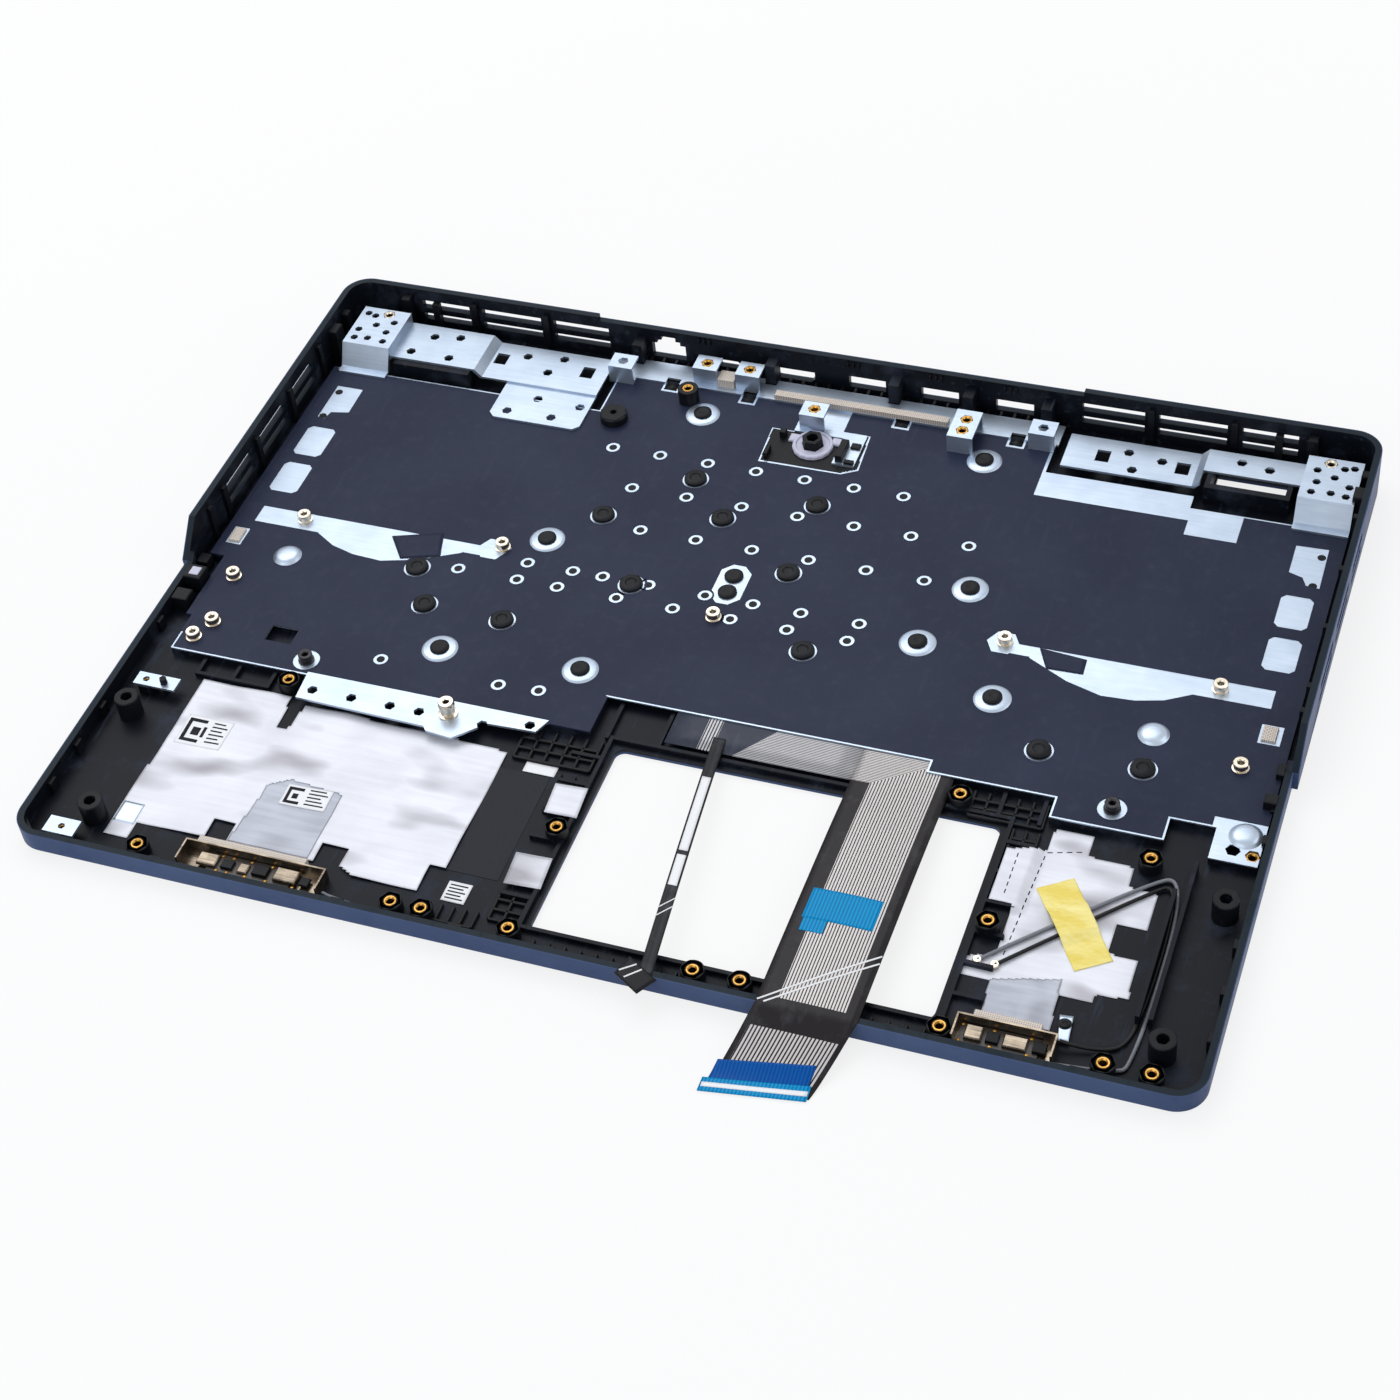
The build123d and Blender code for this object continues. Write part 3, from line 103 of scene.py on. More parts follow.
def make_piece(name, points, quads, material, body="case", uv=None, sharp=35.0, merge=True):
    """A mesh from an array of points in millimetres and an array of four-cornered faces."""
    mesh = bpy.data.meshes.new(name)
    mesh.vertices.add(len(points))
    mesh.vertices.foreach_set("co", (np.asarray(points, float) * MM).ravel())
    mesh.loops.add(quads.size)
    mesh.loops.foreach_set("vertex_index", quads.astype(np.int32).ravel())
    mesh.polygons.add(len(quads))
    mesh.polygons.foreach_set("loop_start", np.arange(0, quads.size, 4, dtype=np.int32))
    mesh.update(calc_edges=True)
    if uv is not None:
        layer = mesh.uv_layers.new(name="UVMap")
        layer.data.foreach_set("uv", np.asarray(uv, float)[quads.ravel()].ravel())
    if merge:
        work = bmesh.new()
        work.from_mesh(mesh)
        bmesh.ops.remove_doubles(work, verts=work.verts, dist=1e-7)
        bmesh.ops.recalc_face_normals(work, faces=work.faces)
        work.to_mesh(mesh)
        work.free()
    mesh.validate()
    mesh.polygons.foreach_set("use_smooth", np.ones(len(mesh.polygons), bool))
    mesh.set_sharp_from_angle(angle=math.radians(sharp))
    piece = add_object(name, mesh)
    mesh.materials.append(material)
    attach(piece, body)
    return piece


def make_sheet(name, points, quads, material, thickness, uv=None):
    """A smooth sheet, with its thickness growing down from the side that is seen."""
    piece = make_piece(name, points, quads, material, uv=uv, sharp=180.0, merge=False)
    wall = piece.modifiers.new("thickness", "SOLIDIFY")
    wall.thickness = thickness * MM
    wall.offset = -1.0
    return piece


def turned(name, profile, places, material, sides=28, body="case"):
    """Turned pieces: a closed profile of radius and height carried round a vertical axis at each
    place, x = px + r cos a, y = py + r sin a, z = pz + h."""
    radius, height = np.array(profile, float).T
    angle = np.linspace(0, 2 * np.pi, sides, endpoint=False)
    ring = np.stack([np.outer(radius, np.cos(angle)), np.outer(radius, np.sin(angle)),
                     np.repeat(height[:, None], sides, 1)], -1)
    spots = np.array(places, float)
    points = (ring[None] + spots[:, None, None, :]).reshape(-1, 3)
    one = quads_of(len(radius), sides, wrap_rows=True, wrap_columns=True)
    quads = repeated(one, len(radius) * sides, len(spots))
    return make_piece(name, points, quads, material, body)


def ring_profile(inner, outer, low, high, bevel=0.0):
    """Section of a flat ring whose upper edges are bevelled."""
    return [(inner, low), (outer, low), (outer, high - bevel), (outer - bevel, high),
            (inner + bevel, high), (inner, high - bevel)]


def at(places, z):
    """Plan places at one height."""
    return [(x, y, z) for x, y in places]


def blocks(name, boxes, material, bevel=0.15):
    """Small moulded blocks given by their limits, each a ring of four corners carried up three
    heights, with the top drawn in by a bevel."""
    limits = np.array(boxes, float)
    x0, x1, y0, y1, z0, z1 = limits.T
    points = []
    for inset, z in ((0.0, z0), (0.0, z1 - bevel), (bevel, z1)):
        xs = np.stack([x0 + inset, x1 - inset, x1 - inset, x0 + inset], 1)
        ys = np.stack([y0 + inset, y0 + inset, y1 - inset, y1 - inset], 1)
        points.append(np.stack([xs, ys, np.repeat(z[:, None], 4, 1)], -1))
    points = np.stack(points, 1).reshape(-1, 3)
    one = np.concatenate([quads_of(3, 4, wrap_columns=True), [[8, 9, 10, 11], [3, 2, 1, 0]]])
    quads = repeated(one, one.max() + 1, len(limits))
    return make_piece(name, points, quads, material)


def both_sides(d0, d1, y0, y1, top):
    """Limits of a block on the deck at a distance in from the left wall, and of its like at the right."""
    return [(left(d0), left(d1), y0, y1, DECK, top), (right(d1), right(d0), y0, y1, DECK, top)]


def inside(x, y, outline):
    """True where points lie in a closed outline, by counting the edges to their right."""
    result = np.zeros(x.shape, bool)
    for (ax, ay), (bx, by) in zip(outline, outline[1:] + outline[:1]):
        if ay == by:
            continue
        crosses = (ay > y) != (by > y)
        result ^= crosses & (x < (bx - ax) * (y - ay) / (by - ay) + ax)
    return result


def cut_sheet(name, outline, height, material, step, thickness, holes=()):
    """Sheet over a plan outline: a grid of points z = height(x, y), kept where a cell's middle lies
    inside the outline and outside the holes."""
    xs, ys = (np.arange(c.min(), c.max() + step, step) for c in np.array(outline).T)
    x, y = np.meshgrid(xs, ys, indexing="ij")
    quads = quads_of(len(xs), len(ys))
    middle_x, middle_y = x.ravel()[quads].mean(1), y.ravel()[quads].mean(1)
    keep = inside(middle_x, middle_y, outline)
    for hx, hy, r in holes:
        keep &= np.hypot(middle_x - hx, middle_y - hy) > r
    used, quads = np.unique(quads[keep][:, ::-1], return_inverse=True)
    points = np.stack([x, y, height(x, y)], -1).reshape(-1, 3)[used]
    return make_sheet(name, points, quads.reshape(-1, 4), material, thickness, points[:, :2])


def rect(x0, x1, y0, y1):
    """Four plan corners of a rectangle, anticlockwise."""
    return [(x0, y0), (x1, y0), (x1, y1), (x0, y1)]


def stroke(start, end, width):
    """Four plan corners of a thin line."""
    (ax, ay), (bx, by) = start, end
    length = math.hypot(bx - ax, by - ay)
    nx, ny = (ay - by) / length * width / 2, (bx - ax) / length * width / 2
    return [(ax - nx, ay - ny), (bx - nx, by - ny), (bx + nx, by + ny), (ax + nx, ay + ny)]


def dashes(start, end, width=0.3, dash=1.5, pitch=2.7):
    """Strokes of a dashed line."""
    a, b = np.array(start), np.array(end)
    way = (b - a) / np.linalg.norm(b - a)
    starts = np.arange(0.0, np.linalg.norm(b - a) - dash, pitch)
    return [stroke(a + way * t, a + way * (t + dash), width) for t in starts]


def drape(name, patches, height, material, steps=(10, 10), thickness=0.1):
    """Thin patches laid on a surface. Between its four plan corners each point is
    (1-u)(1-v) a + u(1-v) b + u v c + (1-u) v d, at the height of the surface there."""
    corners = np.array(patches, float)
    v, u = np.meshgrid(np.linspace(0, 1, steps[1]), np.linspace(0, 1, steps[0]), indexing="ij")
    weights = np.stack([(1 - u) * (1 - v), u * (1 - v), u * v, (1 - u) * v], -1)
    plan = np.einsum("ijc,kcd->kijd", weights, corners)
    x, y = plan[..., 0], plan[..., 1]
    points = np.stack([x, y, height(x, y)], -1).reshape(-1, 3)
    quads = repeated(quads_of(steps[1], steps[0]), u.size, len(corners))
    uv = np.tile(np.stack([u, v], -1).reshape(-1, 2), (len(corners), 1))
    return make_sheet(name, points, quads, material, thickness, uv)


def level(z):
    """Surface of one height."""
    return lambda x, y: np.full(np.shape(x), z)


def raised(face, lift):
    """Surface that lies a little above another one."""
    return lambda x, y: face(x, y) + lift


def edge_strip(name, corners, section, z, material):
    """A closed section of (outwards, upwards) points carried along a plan line, with the outside on
    the right of the way it runs. Its corners are mitred: offset = d (n1 + n2) / (1 + n1.n2)."""
    line = np.array(corners, float)
    way = np.diff(line, axis=0)
    way /= np.linalg.norm(way, axis=1)[:, None]
    normal = np.stack([way[:, 1], -way[:, 0]], 1)
    before = np.concatenate([normal[:1], normal])
    after = np.concatenate([normal, normal[-1:]])
    mitre = (before + after) / (1 + (before * after).sum(1))[:, None]
    out, up = np.array(section, float).T
    plan = line[:, None] + mitre[:, None] * out[None, :, None]
    heights = np.repeat((z + up)[None], len(line), 0)
    points = np.concatenate([plan, heights[..., None]], -1).reshape(-1, 3)
    n = len(section)
    quads = quads_of(len(line), n, wrap_columns=True)
    ends = np.array([[0, 1, 4, 5], [1, 2, 3, 4]])
    quads = np.concatenate([quads, ends, (ends + n * (len(line) - 1))[:, ::-1]])
    return make_piece(name, points, quads, material)


def soft_bumps(seed, count, x_range, y_range, size, depth):
    """Height of smooth dents: a sum of bell curves at seeded places, half of them pressed in."""
    rng = np.random.default_rng(seed)
    cx = rng.uniform(*x_range, count)
    cy = rng.uniform(*y_range, count)
    wide = rng.uniform(0.6, 1.4, count) * size
    tall = rng.uniform(-1.0, 1.0, count) * depth

    def height(x, y):
        bell = np.exp(-((x[..., None] - cx) ** 2 + (y[..., None] - cy) ** 2) / wide ** 2)
        return (bell * tall).sum(-1)
    return height


# Shader building

def tint(code):
    """Linear colour from a two-digit-per-channel code."""
    values = [int(code[i:i + 2], 16) / 255 for i in (0, 2, 4)]
    return tuple(v / 12.92 if v <= 0.04045 else ((v + 0.055) / 1.055) ** 2.4 for v in values) + (1.0,)


def put(tree, kind, inputs=None, **settings):
    """Adds a node, sets its settings, and fills each input with a value or a link."""
    node = tree.nodes.new(kind)
    for key, value in settings.items():
        setattr(node, key, value)
    for key, value in (inputs or {}).items():
        if isinstance(value, bpy.types.NodeSocket):
            tree.links.new(value, node.inputs[key])
        else:
            node.inputs[key].default_value = value
    return node


def maths(operation):
    """A function that adds one step of arithmetic to a shader."""
    return lambda tree, *values: put(tree, "ShaderNodeMath", dict(enumerate(values)),
                                     operation=operation).outputs[0]


times, plus, minus = maths("MULTIPLY"), maths("ADD"), maths("SUBTRACT")
most, least, size_of = maths("MAXIMUM"), maths("MINIMUM"), maths("ABSOLUTE")
above, under = maths("GREATER_THAN"), maths("LESS_THAN")
sine, root_of, remainder = maths("SINE"), maths("SQRT"), maths("FRACT")


def fade(tree, value, low, high, to_low=0.0, to_high=1.0):
    """Straight fade of a value between two limits."""
    return put(tree, "ShaderNodeMapRange", {0: value, 1: low, 2: high, 3: to_low, 4: to_high}).outputs[0]


def mixed(tree, mask, first, second):
    """Colour that goes from the first to the second as the mask rises."""
    return put(tree, "ShaderNodeMix", {0: mask, 6: first, 7: second}, data_type="RGBA").outputs[2]


def noise(tree, vector, scale, detail=3.0, rough=0.5):
    """Cloudy pattern, from nought to one."""
    return put(tree, "ShaderNodeTexNoise", {"Vector": vector, "Scale": scale, "Detail": detail,
                                            "Roughness": rough}).outputs[0]


def start_group(name, inputs, outputs):
    """Empty shader group with named number inputs and outputs."""
    tree = bpy.data.node_groups.new(name, "ShaderNodeTree")
    for label, value in inputs.items():
        socket = tree.interface.new_socket(label, in_out="INPUT", socket_type="NodeSocketFloat")
        socket.default_value = value
    for label in outputs:
        tree.interface.new_socket(label, in_out="OUTPUT", socket_type="NodeSocketFloat")
    return tree, put(tree, "NodeGroupInput").outputs, put(tree, "NodeGroupOutput").inputs


def object_place(tree):
    """Place on the part, in metres."""
    return put(tree, "ShaderNodeTexCoord").outputs["Object"]


def moulded_grain():
    """Fine even pimples of a spark-eroded mould."""
    tree, given, out = start_group("moulded grain", {"Scale": 1500.0}, ["Height", "Tone"])
    place = object_place(tree)
    fine = noise(tree, place, given["Scale"], 2.0)
    broad = noise(tree, place, 22.0, 4.0)
    tree.links.new(fine, out["Height"])
    tree.links.new(broad, out["Tone"])
    return tree


def dusty_scuffs():
    """Patches of pale dust and short rubbed streaks."""
    tree, given, out = start_group("dusty scuffs", {"Scale": 60.0, "Amount": 0.5}, ["Mask"])
    place = object_place(tree)
    cloud = fade(tree, noise(tree, place, given["Scale"], 6.0, 0.65), 0.52, 0.74)
    stretched = put(tree, "ShaderNodeMapping", {"Vector": place, "Rotation": (0.0, 0.0, 0.7),
                                                "Scale": (1.0, 0.12, 1.0)}).outputs[0]
    streak = fade(tree, noise(tree, stretched, 420.0, 2.0), 0.62, 0.72)
    both = most(tree, cloud, times(tree, streak, 0.6))
    tree.links.new(times(tree, both, given["Amount"]), out["Mask"])
    return tree


def soft_waves():
    """Slow unevenness of a thin sheet laid over other things."""
    tree, given, out = start_group("soft waves", {"Scale": 25.0}, ["Height"])
    place = object_place(tree)
    slow = noise(tree, place, given["Scale"], 1.0)
    quick = noise(tree, place, times(tree, given["Scale"], 3.0), 1.0)
    tree.links.new(plus(tree, slow, times(tree, quick, 0.3)), out["Height"])
    return tree


def crossed_threads():
    """Threads that cross over and under, with their height and the gaps between them."""
    tree, given, out = start_group("crossed threads", {"Pitch": 1500.0}, ["Height", "Gaps"])
    parts = put(tree, "ShaderNodeSeparateXYZ", {0: object_place(tree)}).outputs
    along = sine(tree, times(tree, parts[0], given["Pitch"]))
    across = sine(tree, times(tree, parts[1], given["Pitch"]))
    height = times(tree, along, across)
    tree.links.new(height, out["Height"])
    tree.links.new(fade(tree, size_of(tree, height), 0.0, 0.35, 1.0, 0.0), out["Gaps"])
    return tree


def mill_marks():
    """Faint rolling streaks and crystal patches of plated sheet."""
    tree, given, out = start_group("mill marks", {"Scale": 90.0}, ["Tone", "Height"])
    place = object_place(tree)
    streaks = put(tree, "ShaderNodeMapping", {"Vector": place, "Scale": (0.06, 1.0, 1.0)}).outputs[0]
    line = noise(tree, streaks, times(tree, given["Scale"], 14.0), 3.0)
    cloud = noise(tree, place, given["Scale"], 4.0)
    tree.links.new(plus(tree, times(tree, line, 0.4), times(tree, cloud, 0.6)), out["Tone"])
    tree.links.new(line, out["Height"])
    return tree


GRAIN = moulded_grain()
SCUFFS = dusty_scuffs()
WAVES = soft_waves()
THREADS = crossed_threads()
MARKS = mill_marks()


def use(tree, group, **values):
    """Places a shared group in a material with its own values."""
    node = put(tree, "ShaderNodeGroup", node_tree=group)
    for label, value in values.items():
        node.inputs[label].default_value = value
    return node.outputs


def new_material(name, roughness=0.5, metallic=0.0, specular=0.5):
    """A material with one principled shader, its nodes, and the shader's inputs."""
    material = bpy.data.materials.new(name)
    material.use_nodes = True
    tree = material.node_tree
    tree.nodes.clear()
    shader = put(tree, "ShaderNodeBsdfPrincipled", {"Roughness": roughness, "Metallic": metallic,
                                                    "Specular IOR Level": specular})
    put(tree, "ShaderNodeOutputMaterial", {0: shader.outputs[0]})
    return material, tree, shader.inputs


def bump(tree, shader, height, strength, distance=0.1):
    """Fine relief of a surface, its depth in millimetres."""
    node = put(tree, "ShaderNodeBump", {"Height": height, "Strength": strength,
                                        "Distance": distance * MM})
    tree.links.new(node.outputs[0], shader["Normal"])


def two_tone(name, dark, pale, mask_of, strength=0.3, **finish):
    """Material whose colour goes between two tones by a mask, with the relief that comes with it."""
    material, tree, shader = new_material(name, **finish)
    mask, relief = mask_of(tree)
    tree.links.new(mixed(tree, mask, tint(dark), tint(pale)), shader["Base Color"])
    bump(tree, shader, relief, strength)
    return material


def wall_distance(tree):
    """Distance in from the case's outer face, in metres, negative inside, and the height: the
    distance to a rounded rectangle, which is wider behind the step in the side walls."""
    x, y, z = put(tree, "ShaderNodeSeparateXYZ", {0: object_place(tree)}).outputs
    wider = times(tree, above(tree, y, STEP_Y * MM), STEP_IN * MM)
    corner = CORNER * MM
    half_x = plus(tree, wider, (WIDTH / 2 - STEP_IN) * MM - corner)
    qx = minus(tree, size_of(tree, x), half_x)
    qy = minus(tree, size_of(tree, y), DEPTH / 2 * MM - corner)
    px, py = most(tree, qx, 0.0), most(tree, qy, 0.0)
    beyond = root_of(tree, plus(tree, times(tree, px, px), times(tree, py, py)))
    within = least(tree, most(tree, qx, qy), 0.0)
    return minus(tree, plus(tree, beyond, within), corner), z


def case_material():
    """Blue painted outside, darker rim, and bare black plastic inside with dust and rubbed marks."""
    material, tree, shader = new_material("case plastic", roughness=0.5, specular=0.12)
    depth, z = wall_distance(tree)
    scuffs = use(tree, SCUFFS, Scale=70.0, Amount=0.55)["Mask"]
    grain = use(tree, GRAIN, Scale=1700.0)
    bare = mixed(tree, scuffs, tint("0D1119"), tint("414858"))
    painted = mixed(tree, fade(tree, grain["Tone"], 0.35, 0.65), tint("36476B"), tint("425479"))
    rim = mixed(tree, grain["Tone"], tint("0F1A24"), tint("18252F"))
    outer = fade(tree, depth, -0.35 * MM, -0.15 * MM)
    band = fade(tree, depth, -2.15 * MM, -2.05 * MM)
    below = fade(tree, z, 1.05 * MM, 0.95 * MM)
    inner_or_rim = mixed(tree, band, bare, rim)
    outside = most(tree, outer, below)
    tree.links.new(mixed(tree, outside, inner_or_rim, painted), shader["Base Color"])
    tree.links.new(fade(tree, scuffs, 0.0, 0.5, 0.42, 0.66), shader["Roughness"])
    bump(tree, shader, grain["Height"], 0.25, 0.05)
    return material


def grained(name, dark, pale, scale=1700.0, amount=0.3, **finish):
    """Moulded or printed surface, finely grained and a little dusty."""
    def mask(tree):
        dust = use(tree, SCUFFS, Scale=90.0, Amount=amount)["Mask"]
        return dust, use(tree, GRAIN, Scale=scale)["Height"]
    return two_tone(name, dark, pale, mask, strength=0.25, **finish)


def plated(name, dark, pale, scale=90.0, strength=0.08, **finish):
    """Plated or rolled metal with faint marks of the mill."""
    def mask(tree):
        marks = use(tree, MARKS, Scale=scale)
        return fade(tree, marks["Tone"], 0.35, 0.65), marks["Height"]
    return two_tone(name, dark, pale, mask, strength=strength, **finish)


def film_material():
    """Dark plastic film, slightly wavy and dusty, with painted sheen: its colour is a little lighter where
    its waves rise.
    """
    material, tree, shader = new_material("dark film", roughness=0.42, specular=0.1)
    waves = use(tree, WAVES, Scale=26.0)["Height"]
    dust = use(tree, SCUFFS, Scale=240.0, Amount=0.1)["Mask"]
    # Painted sheen: the colour follows the waves' height and is lighter on their crests.
    wave_sheen = mixed(tree, fade(tree, waves, 0.4, 0.9), tint("20263A"), tint("292F44"))
    tree.links.new(mixed(tree, dust, wave_sheen, tint("565A68")), shader["Base Color"])
    bump(tree, shader, waves, 0.5, 1.2)
    return material


def foil_material(name, pale, shade, dent_shade, amount, metallic):
    """Thin foil: a pale skin with painted shade, a darker colour in soft streaks that stands for the shaded
    sides of its dents.
    """
    material, tree, shader = new_material(name, roughness=0.45, metallic=metallic, specular=0.2)
    marks = use(tree, MARKS, Scale=40.0)
    waves = use(tree, WAVES, Scale=85.0)["Height"]
    flat = put(tree, "ShaderNodeMapping", {"Vector": object_place(tree), "Rotation": (0.0, 0.0, 0.25),
                                           "Scale": (0.45, 1.0, 1.0)}).outputs[0]
    # Painted shade: soft streaks of the darker colour stand for the shaded sides of dents.
    dents = fade(tree, noise(tree, flat, 75.0, 1.5), 0.55, 0.72, 0.0, amount)
    skin = mixed(tree, fade(tree, marks["Tone"], 0.35, 0.65), tint(shade), tint(pale))
    tree.links.new(mixed(tree, dents, skin, tint(dent_shade)), shader["Base Color"])
    bump(tree, shader, waves, 0.4, 0.7)
    return material


def woven_material(name, gap, thread, pitch, strength=0.6, **finish):
    """Cloth of crossed threads, darker in its gaps."""
    def mask(tree):
        threads = use(tree, THREADS, Pitch=pitch)
        return minus(tree, 1.0, threads["Gaps"]), threads["Height"]
    return two_tone(name, gap, thread, mask, strength=strength, **finish)


def crepe_material(name, dark, pale):
    """Crepe paper: fine crinkles across the tape, and a broad mottle."""
    def mask(tree):
        place = put(tree, "ShaderNodeMapping", {"Vector": object_place(tree), "Rotation": (0.0, 0.0, -0.59),
                                                "Scale": (0.3, 1.0, 1.0)}).outputs[0]
        crinkle = noise(tree, place, 1400.0, 3.0)
        mottle = noise(tree, place, 170.0, 3.0)
        return fade(tree, plus(tree, times(tree, crinkle, 0.35), mottle), 0.5, 0.85), crinkle
    return two_tone(name, dark, pale, mask, strength=0.3, roughness=0.65, specular=0.2)


def print_finish(name, mask_of, base, line):
    """Pale conductors under a clear skin, a little worn."""
    material, tree, shader = new_material(name, roughness=0.38, specular=0.16)
    uv = put(tree, "ShaderNodeUVMap", uv_map="UVMap").outputs[0]
    u = put(tree, "ShaderNodeSeparateXYZ", {0: uv}).outputs[0]
    x, y, _ = put(tree, "ShaderNodeSeparateXYZ", {0: object_place(tree)}).outputs
    mask = mask_of(tree, u, x, y)
    wear = use(tree, SCUFFS, Scale=150.0, Amount=0.1)["Mask"]
    colour = mixed(tree, mask, tint(base), tint(line))
    tree.links.new(mixed(tree, wear, colour, tint("8A8F98")), shader["Base Color"])
    tree.links.new(fade(tree, mask, 0.0, 1.0, 0.0, 0.2), shader["Metallic"])
    bump(tree, shader, mask, 0.15, 0.03)
    return material


def stripes(tree, place, lines, share, first, last):
    """Lines of a printed cable between two places of its width."""
    stripe = under(tree, remainder(tree, times(tree, place, float(lines))), share)
    field = times(tree, above(tree, place, first), under(tree, place, last))
    return times(tree, stripe, field)


ROOT_FRONT, ROOT_BACK = -41.6, -28.0


def root_rows(tree, y):
    """Place of a conductor at the cable's root, where the lines run along the plate's edge."""
    return fade(tree, y, ROOT_FRONT * MM, ROOT_BACK * MM, 0.2, 0.9)


def wide_mask(tree, u, x, y):
    """Fine conductors that come in along the root, turn a corner one inside the other and run
    down the cable, and wider ones that fill its end beyond the front lip."""
    fine = stripes(tree, most(tree, u, root_rows(tree, y)), 32, 0.62, 0.2001, 0.86)
    spread = stripes(tree, u, 26, 0.58, 0.06, 0.95)
    inner = above(tree, y, -124.0 * MM)
    outer = under(tree, y, -132.5 * MM)
    return plus(tree, times(tree, fine, inner), times(tree, spread, outer))


def root_mask(tree, u, x, y):
    """Rows of conductors along the root, which begin as a short fan at its far end."""
    begin = plus(tree, 19.0 * MM, times(tree, plus(tree, y, -ROOT_FRONT * MM), 0.8))
    fan = times(tree, above(tree, x, 8.0 * MM), under(tree, x, 12.5 * MM))
    rows = times(tree, stripes(tree, root_rows(tree, y), 32, 0.6, 0.2001, 0.86),
                above(tree, x, begin))
    return most(tree, rows, times(tree, fan, stripes(tree, u, 60, 0.55, 0.0, 1.0)))


def narrow_mask(tree, u, x, y):
    """Two dull conductors along the narrow cable."""
    return stripes(tree, u, 2, 0.5, 0.2, 0.8)


def striped_film(name, dark, pale):
    """Coloured film over conductors, which show through it as fine lines along the cable."""
    def mask(tree):
        x = put(tree, "ShaderNodeSeparateXYZ", {0: object_place(tree)}).outputs[0]
        wave = sine(tree, times(tree, x, 2 * math.pi / MM))
        wear = use(tree, SCUFFS, Scale=200.0, Amount=0.3)["Mask"]
        lines = fade(tree, wave, -0.3, 0.3, 0.0, 0.85)
        return most(tree, lines, wear), wave
    return two_tone(name, dark, pale, mask, strength=0.1, roughness=0.35, specular=0.1)


CASE = case_material()
BLACK = grained("black plastic", "0B0D12", "2C3038", roughness=0.45, specular=0.16)
KEYCAP = grained("key plastic", "0E0E10", "1D1E20", scale=2600.0, amount=0.15, roughness=0.5, specular=0.35)
WHITE = grained("light guide", "C6C6DA", "E6E6F2", amount=0.3, roughness=0.4, specular=0.3)
ZINC = plated("zinc sheet", "A3B1C3", "B5C2D2", strength=0.04, roughness=0.36, metallic=0.8)
BRASS = plated("brass", "7E5D2A", "BE924C", scale=300.0, roughness=0.25, metallic=1.0)
NICKEL = plated("nickel", "B5AA99", "E0D7C8", scale=200.0, roughness=0.22, metallic=1.0)
GUNMETAL = plated("gunmetal", "1B1B1D", "3A393B", scale=200.0, roughness=0.35, metallic=0.8)
FILM = film_material()
# The third colour of each foil is the painted shade of its dents.
FOIL = foil_material("embossed foil", "E4E6EE", "D3D5DE", "8D8A92", 0.8, 0.15)
GREY_FOIL = foil_material("antenna foil", "B4B8C3", "989CA8", "787A84", 0.5, 0.4)
BRONZE = plated("tinned bronze", "4A423B", "9A8E7E", scale=160.0, roughness=0.25, metallic=0.9)
BOARD = grained("antenna board", "2A2420", "4B4238", amount=0.5, roughness=0.4)
GASKET = woven_material("woven gasket", "8A8078", "DAD0C6", 5200.0, roughness=0.6, metallic=0.2)
BLACK_TAPE = woven_material("black tape", "14161C", "22252D", 9000.0, strength=0.3, roughness=0.5,
                            specular=0.15)
YELLOW = crepe_material("crepe tape", "EFD96C", "FFF4AA")
BLUE = striped_film("blue film", "0077AE", "0A9BD6")
DEEP_BLUE = striped_film("deep blue film", "00458F", "075AAA")
INK = grained("printed mark", "1E2026", "4A4C55", amount=0.3, roughness=0.6, specular=0.1)
WHITE_INK = grained("white print", "F0F1F4", "FFFFFF", amount=0.2, roughness=0.5, specular=0.3)
PAPER = grained("label paper", "F1F2F6", "FFFFFF", amount=0.2, roughness=0.6, specular=0.3)
CABLE_BLACK = grained("black cable", "0B0C10", "292B31", roughness=0.4, specular=0.25)
CABLE_GREY = grained("grey cable", "777A82", "9B9EA6", roughness=0.4, specular=0.3)
TRACES = print_finish("wide cable print", wide_mask, "1D1A1E", "C8C4C3")
ROOT = print_finish("cable root print", root_mask, "343947", "BDBBBC")
NARROW = print_finish("narrow cable print", narrow_mask, "0D0E12", "20232A")

LOOKS = [
    (CASE, "top_case key_frame rear_wall edge_walls case_posts"),
    (ZINC, "keyboard_plate left_hinge_bracket right_hinge_bracket port_bracket power_bracket"),
    (ZINC, "left_palm_bracket left_ear_tab corner_clip"),
    (FILM, "insulating_film"), (KEYCAP, "key_sheet space_bar"), (BLACK, "power_button"),
    (WHITE, "power_light_ring"), (BRONZE, "left_antenna_bracket right_antenna_bracket"),
    (BOARD, "left_antenna_board right_antenna_board"), (GASKET, "foam_gaskets"),
    (BLACK_TAPE, "black_tape"),
]
NODE_LOOKS = {name: material for material, names in LOOKS for name in names.split()}
for node_name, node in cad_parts.items():
    if node_name.endswith("_key"):
        NODE_LOOKS[node_name] = KEYCAP
    if node_name in NODE_LOOKS:
        node.data.materials.clear()
        node.data.materials.append(NODE_LOOKS[node_name])


# Places, as in the CAD model
RING_HOLES = ([(-63.0 + 16.45 * i, 77.1) for i in range(7)]
              + [(-50.0 + 18.63 * i, 60.1) for i in range(7)]
              + [(-40.4 + 18.62 * i, 42.0) for i in range(6)]
              + [(x, 19.1) for x in (-69.8, -54.5, -44.5, -29.3, -10.6, 5.0, 20.4, 39.0)]
              + [(x, 11.2) for x in (-90.3, -70.3, -56.7, -37.0, -18.4, 0.3, 18.5, 37.6)]
              + [(-97.8, -32.0), (-58.4, -32.8), (-45.6, -32.0)])
SNAPS = [(-31.3, 68.8), (10.5, 66.3), (-54.3, 45.5), (-16.7, 53.3), (11.3, 34.7), (26.1, 3.6),
         (-34.5, 17.9), (-67.8, -7.0), (-94.2, -6.5), (-103.2, 8.3), (104.2, -17.3), (134.3, -16.8)]
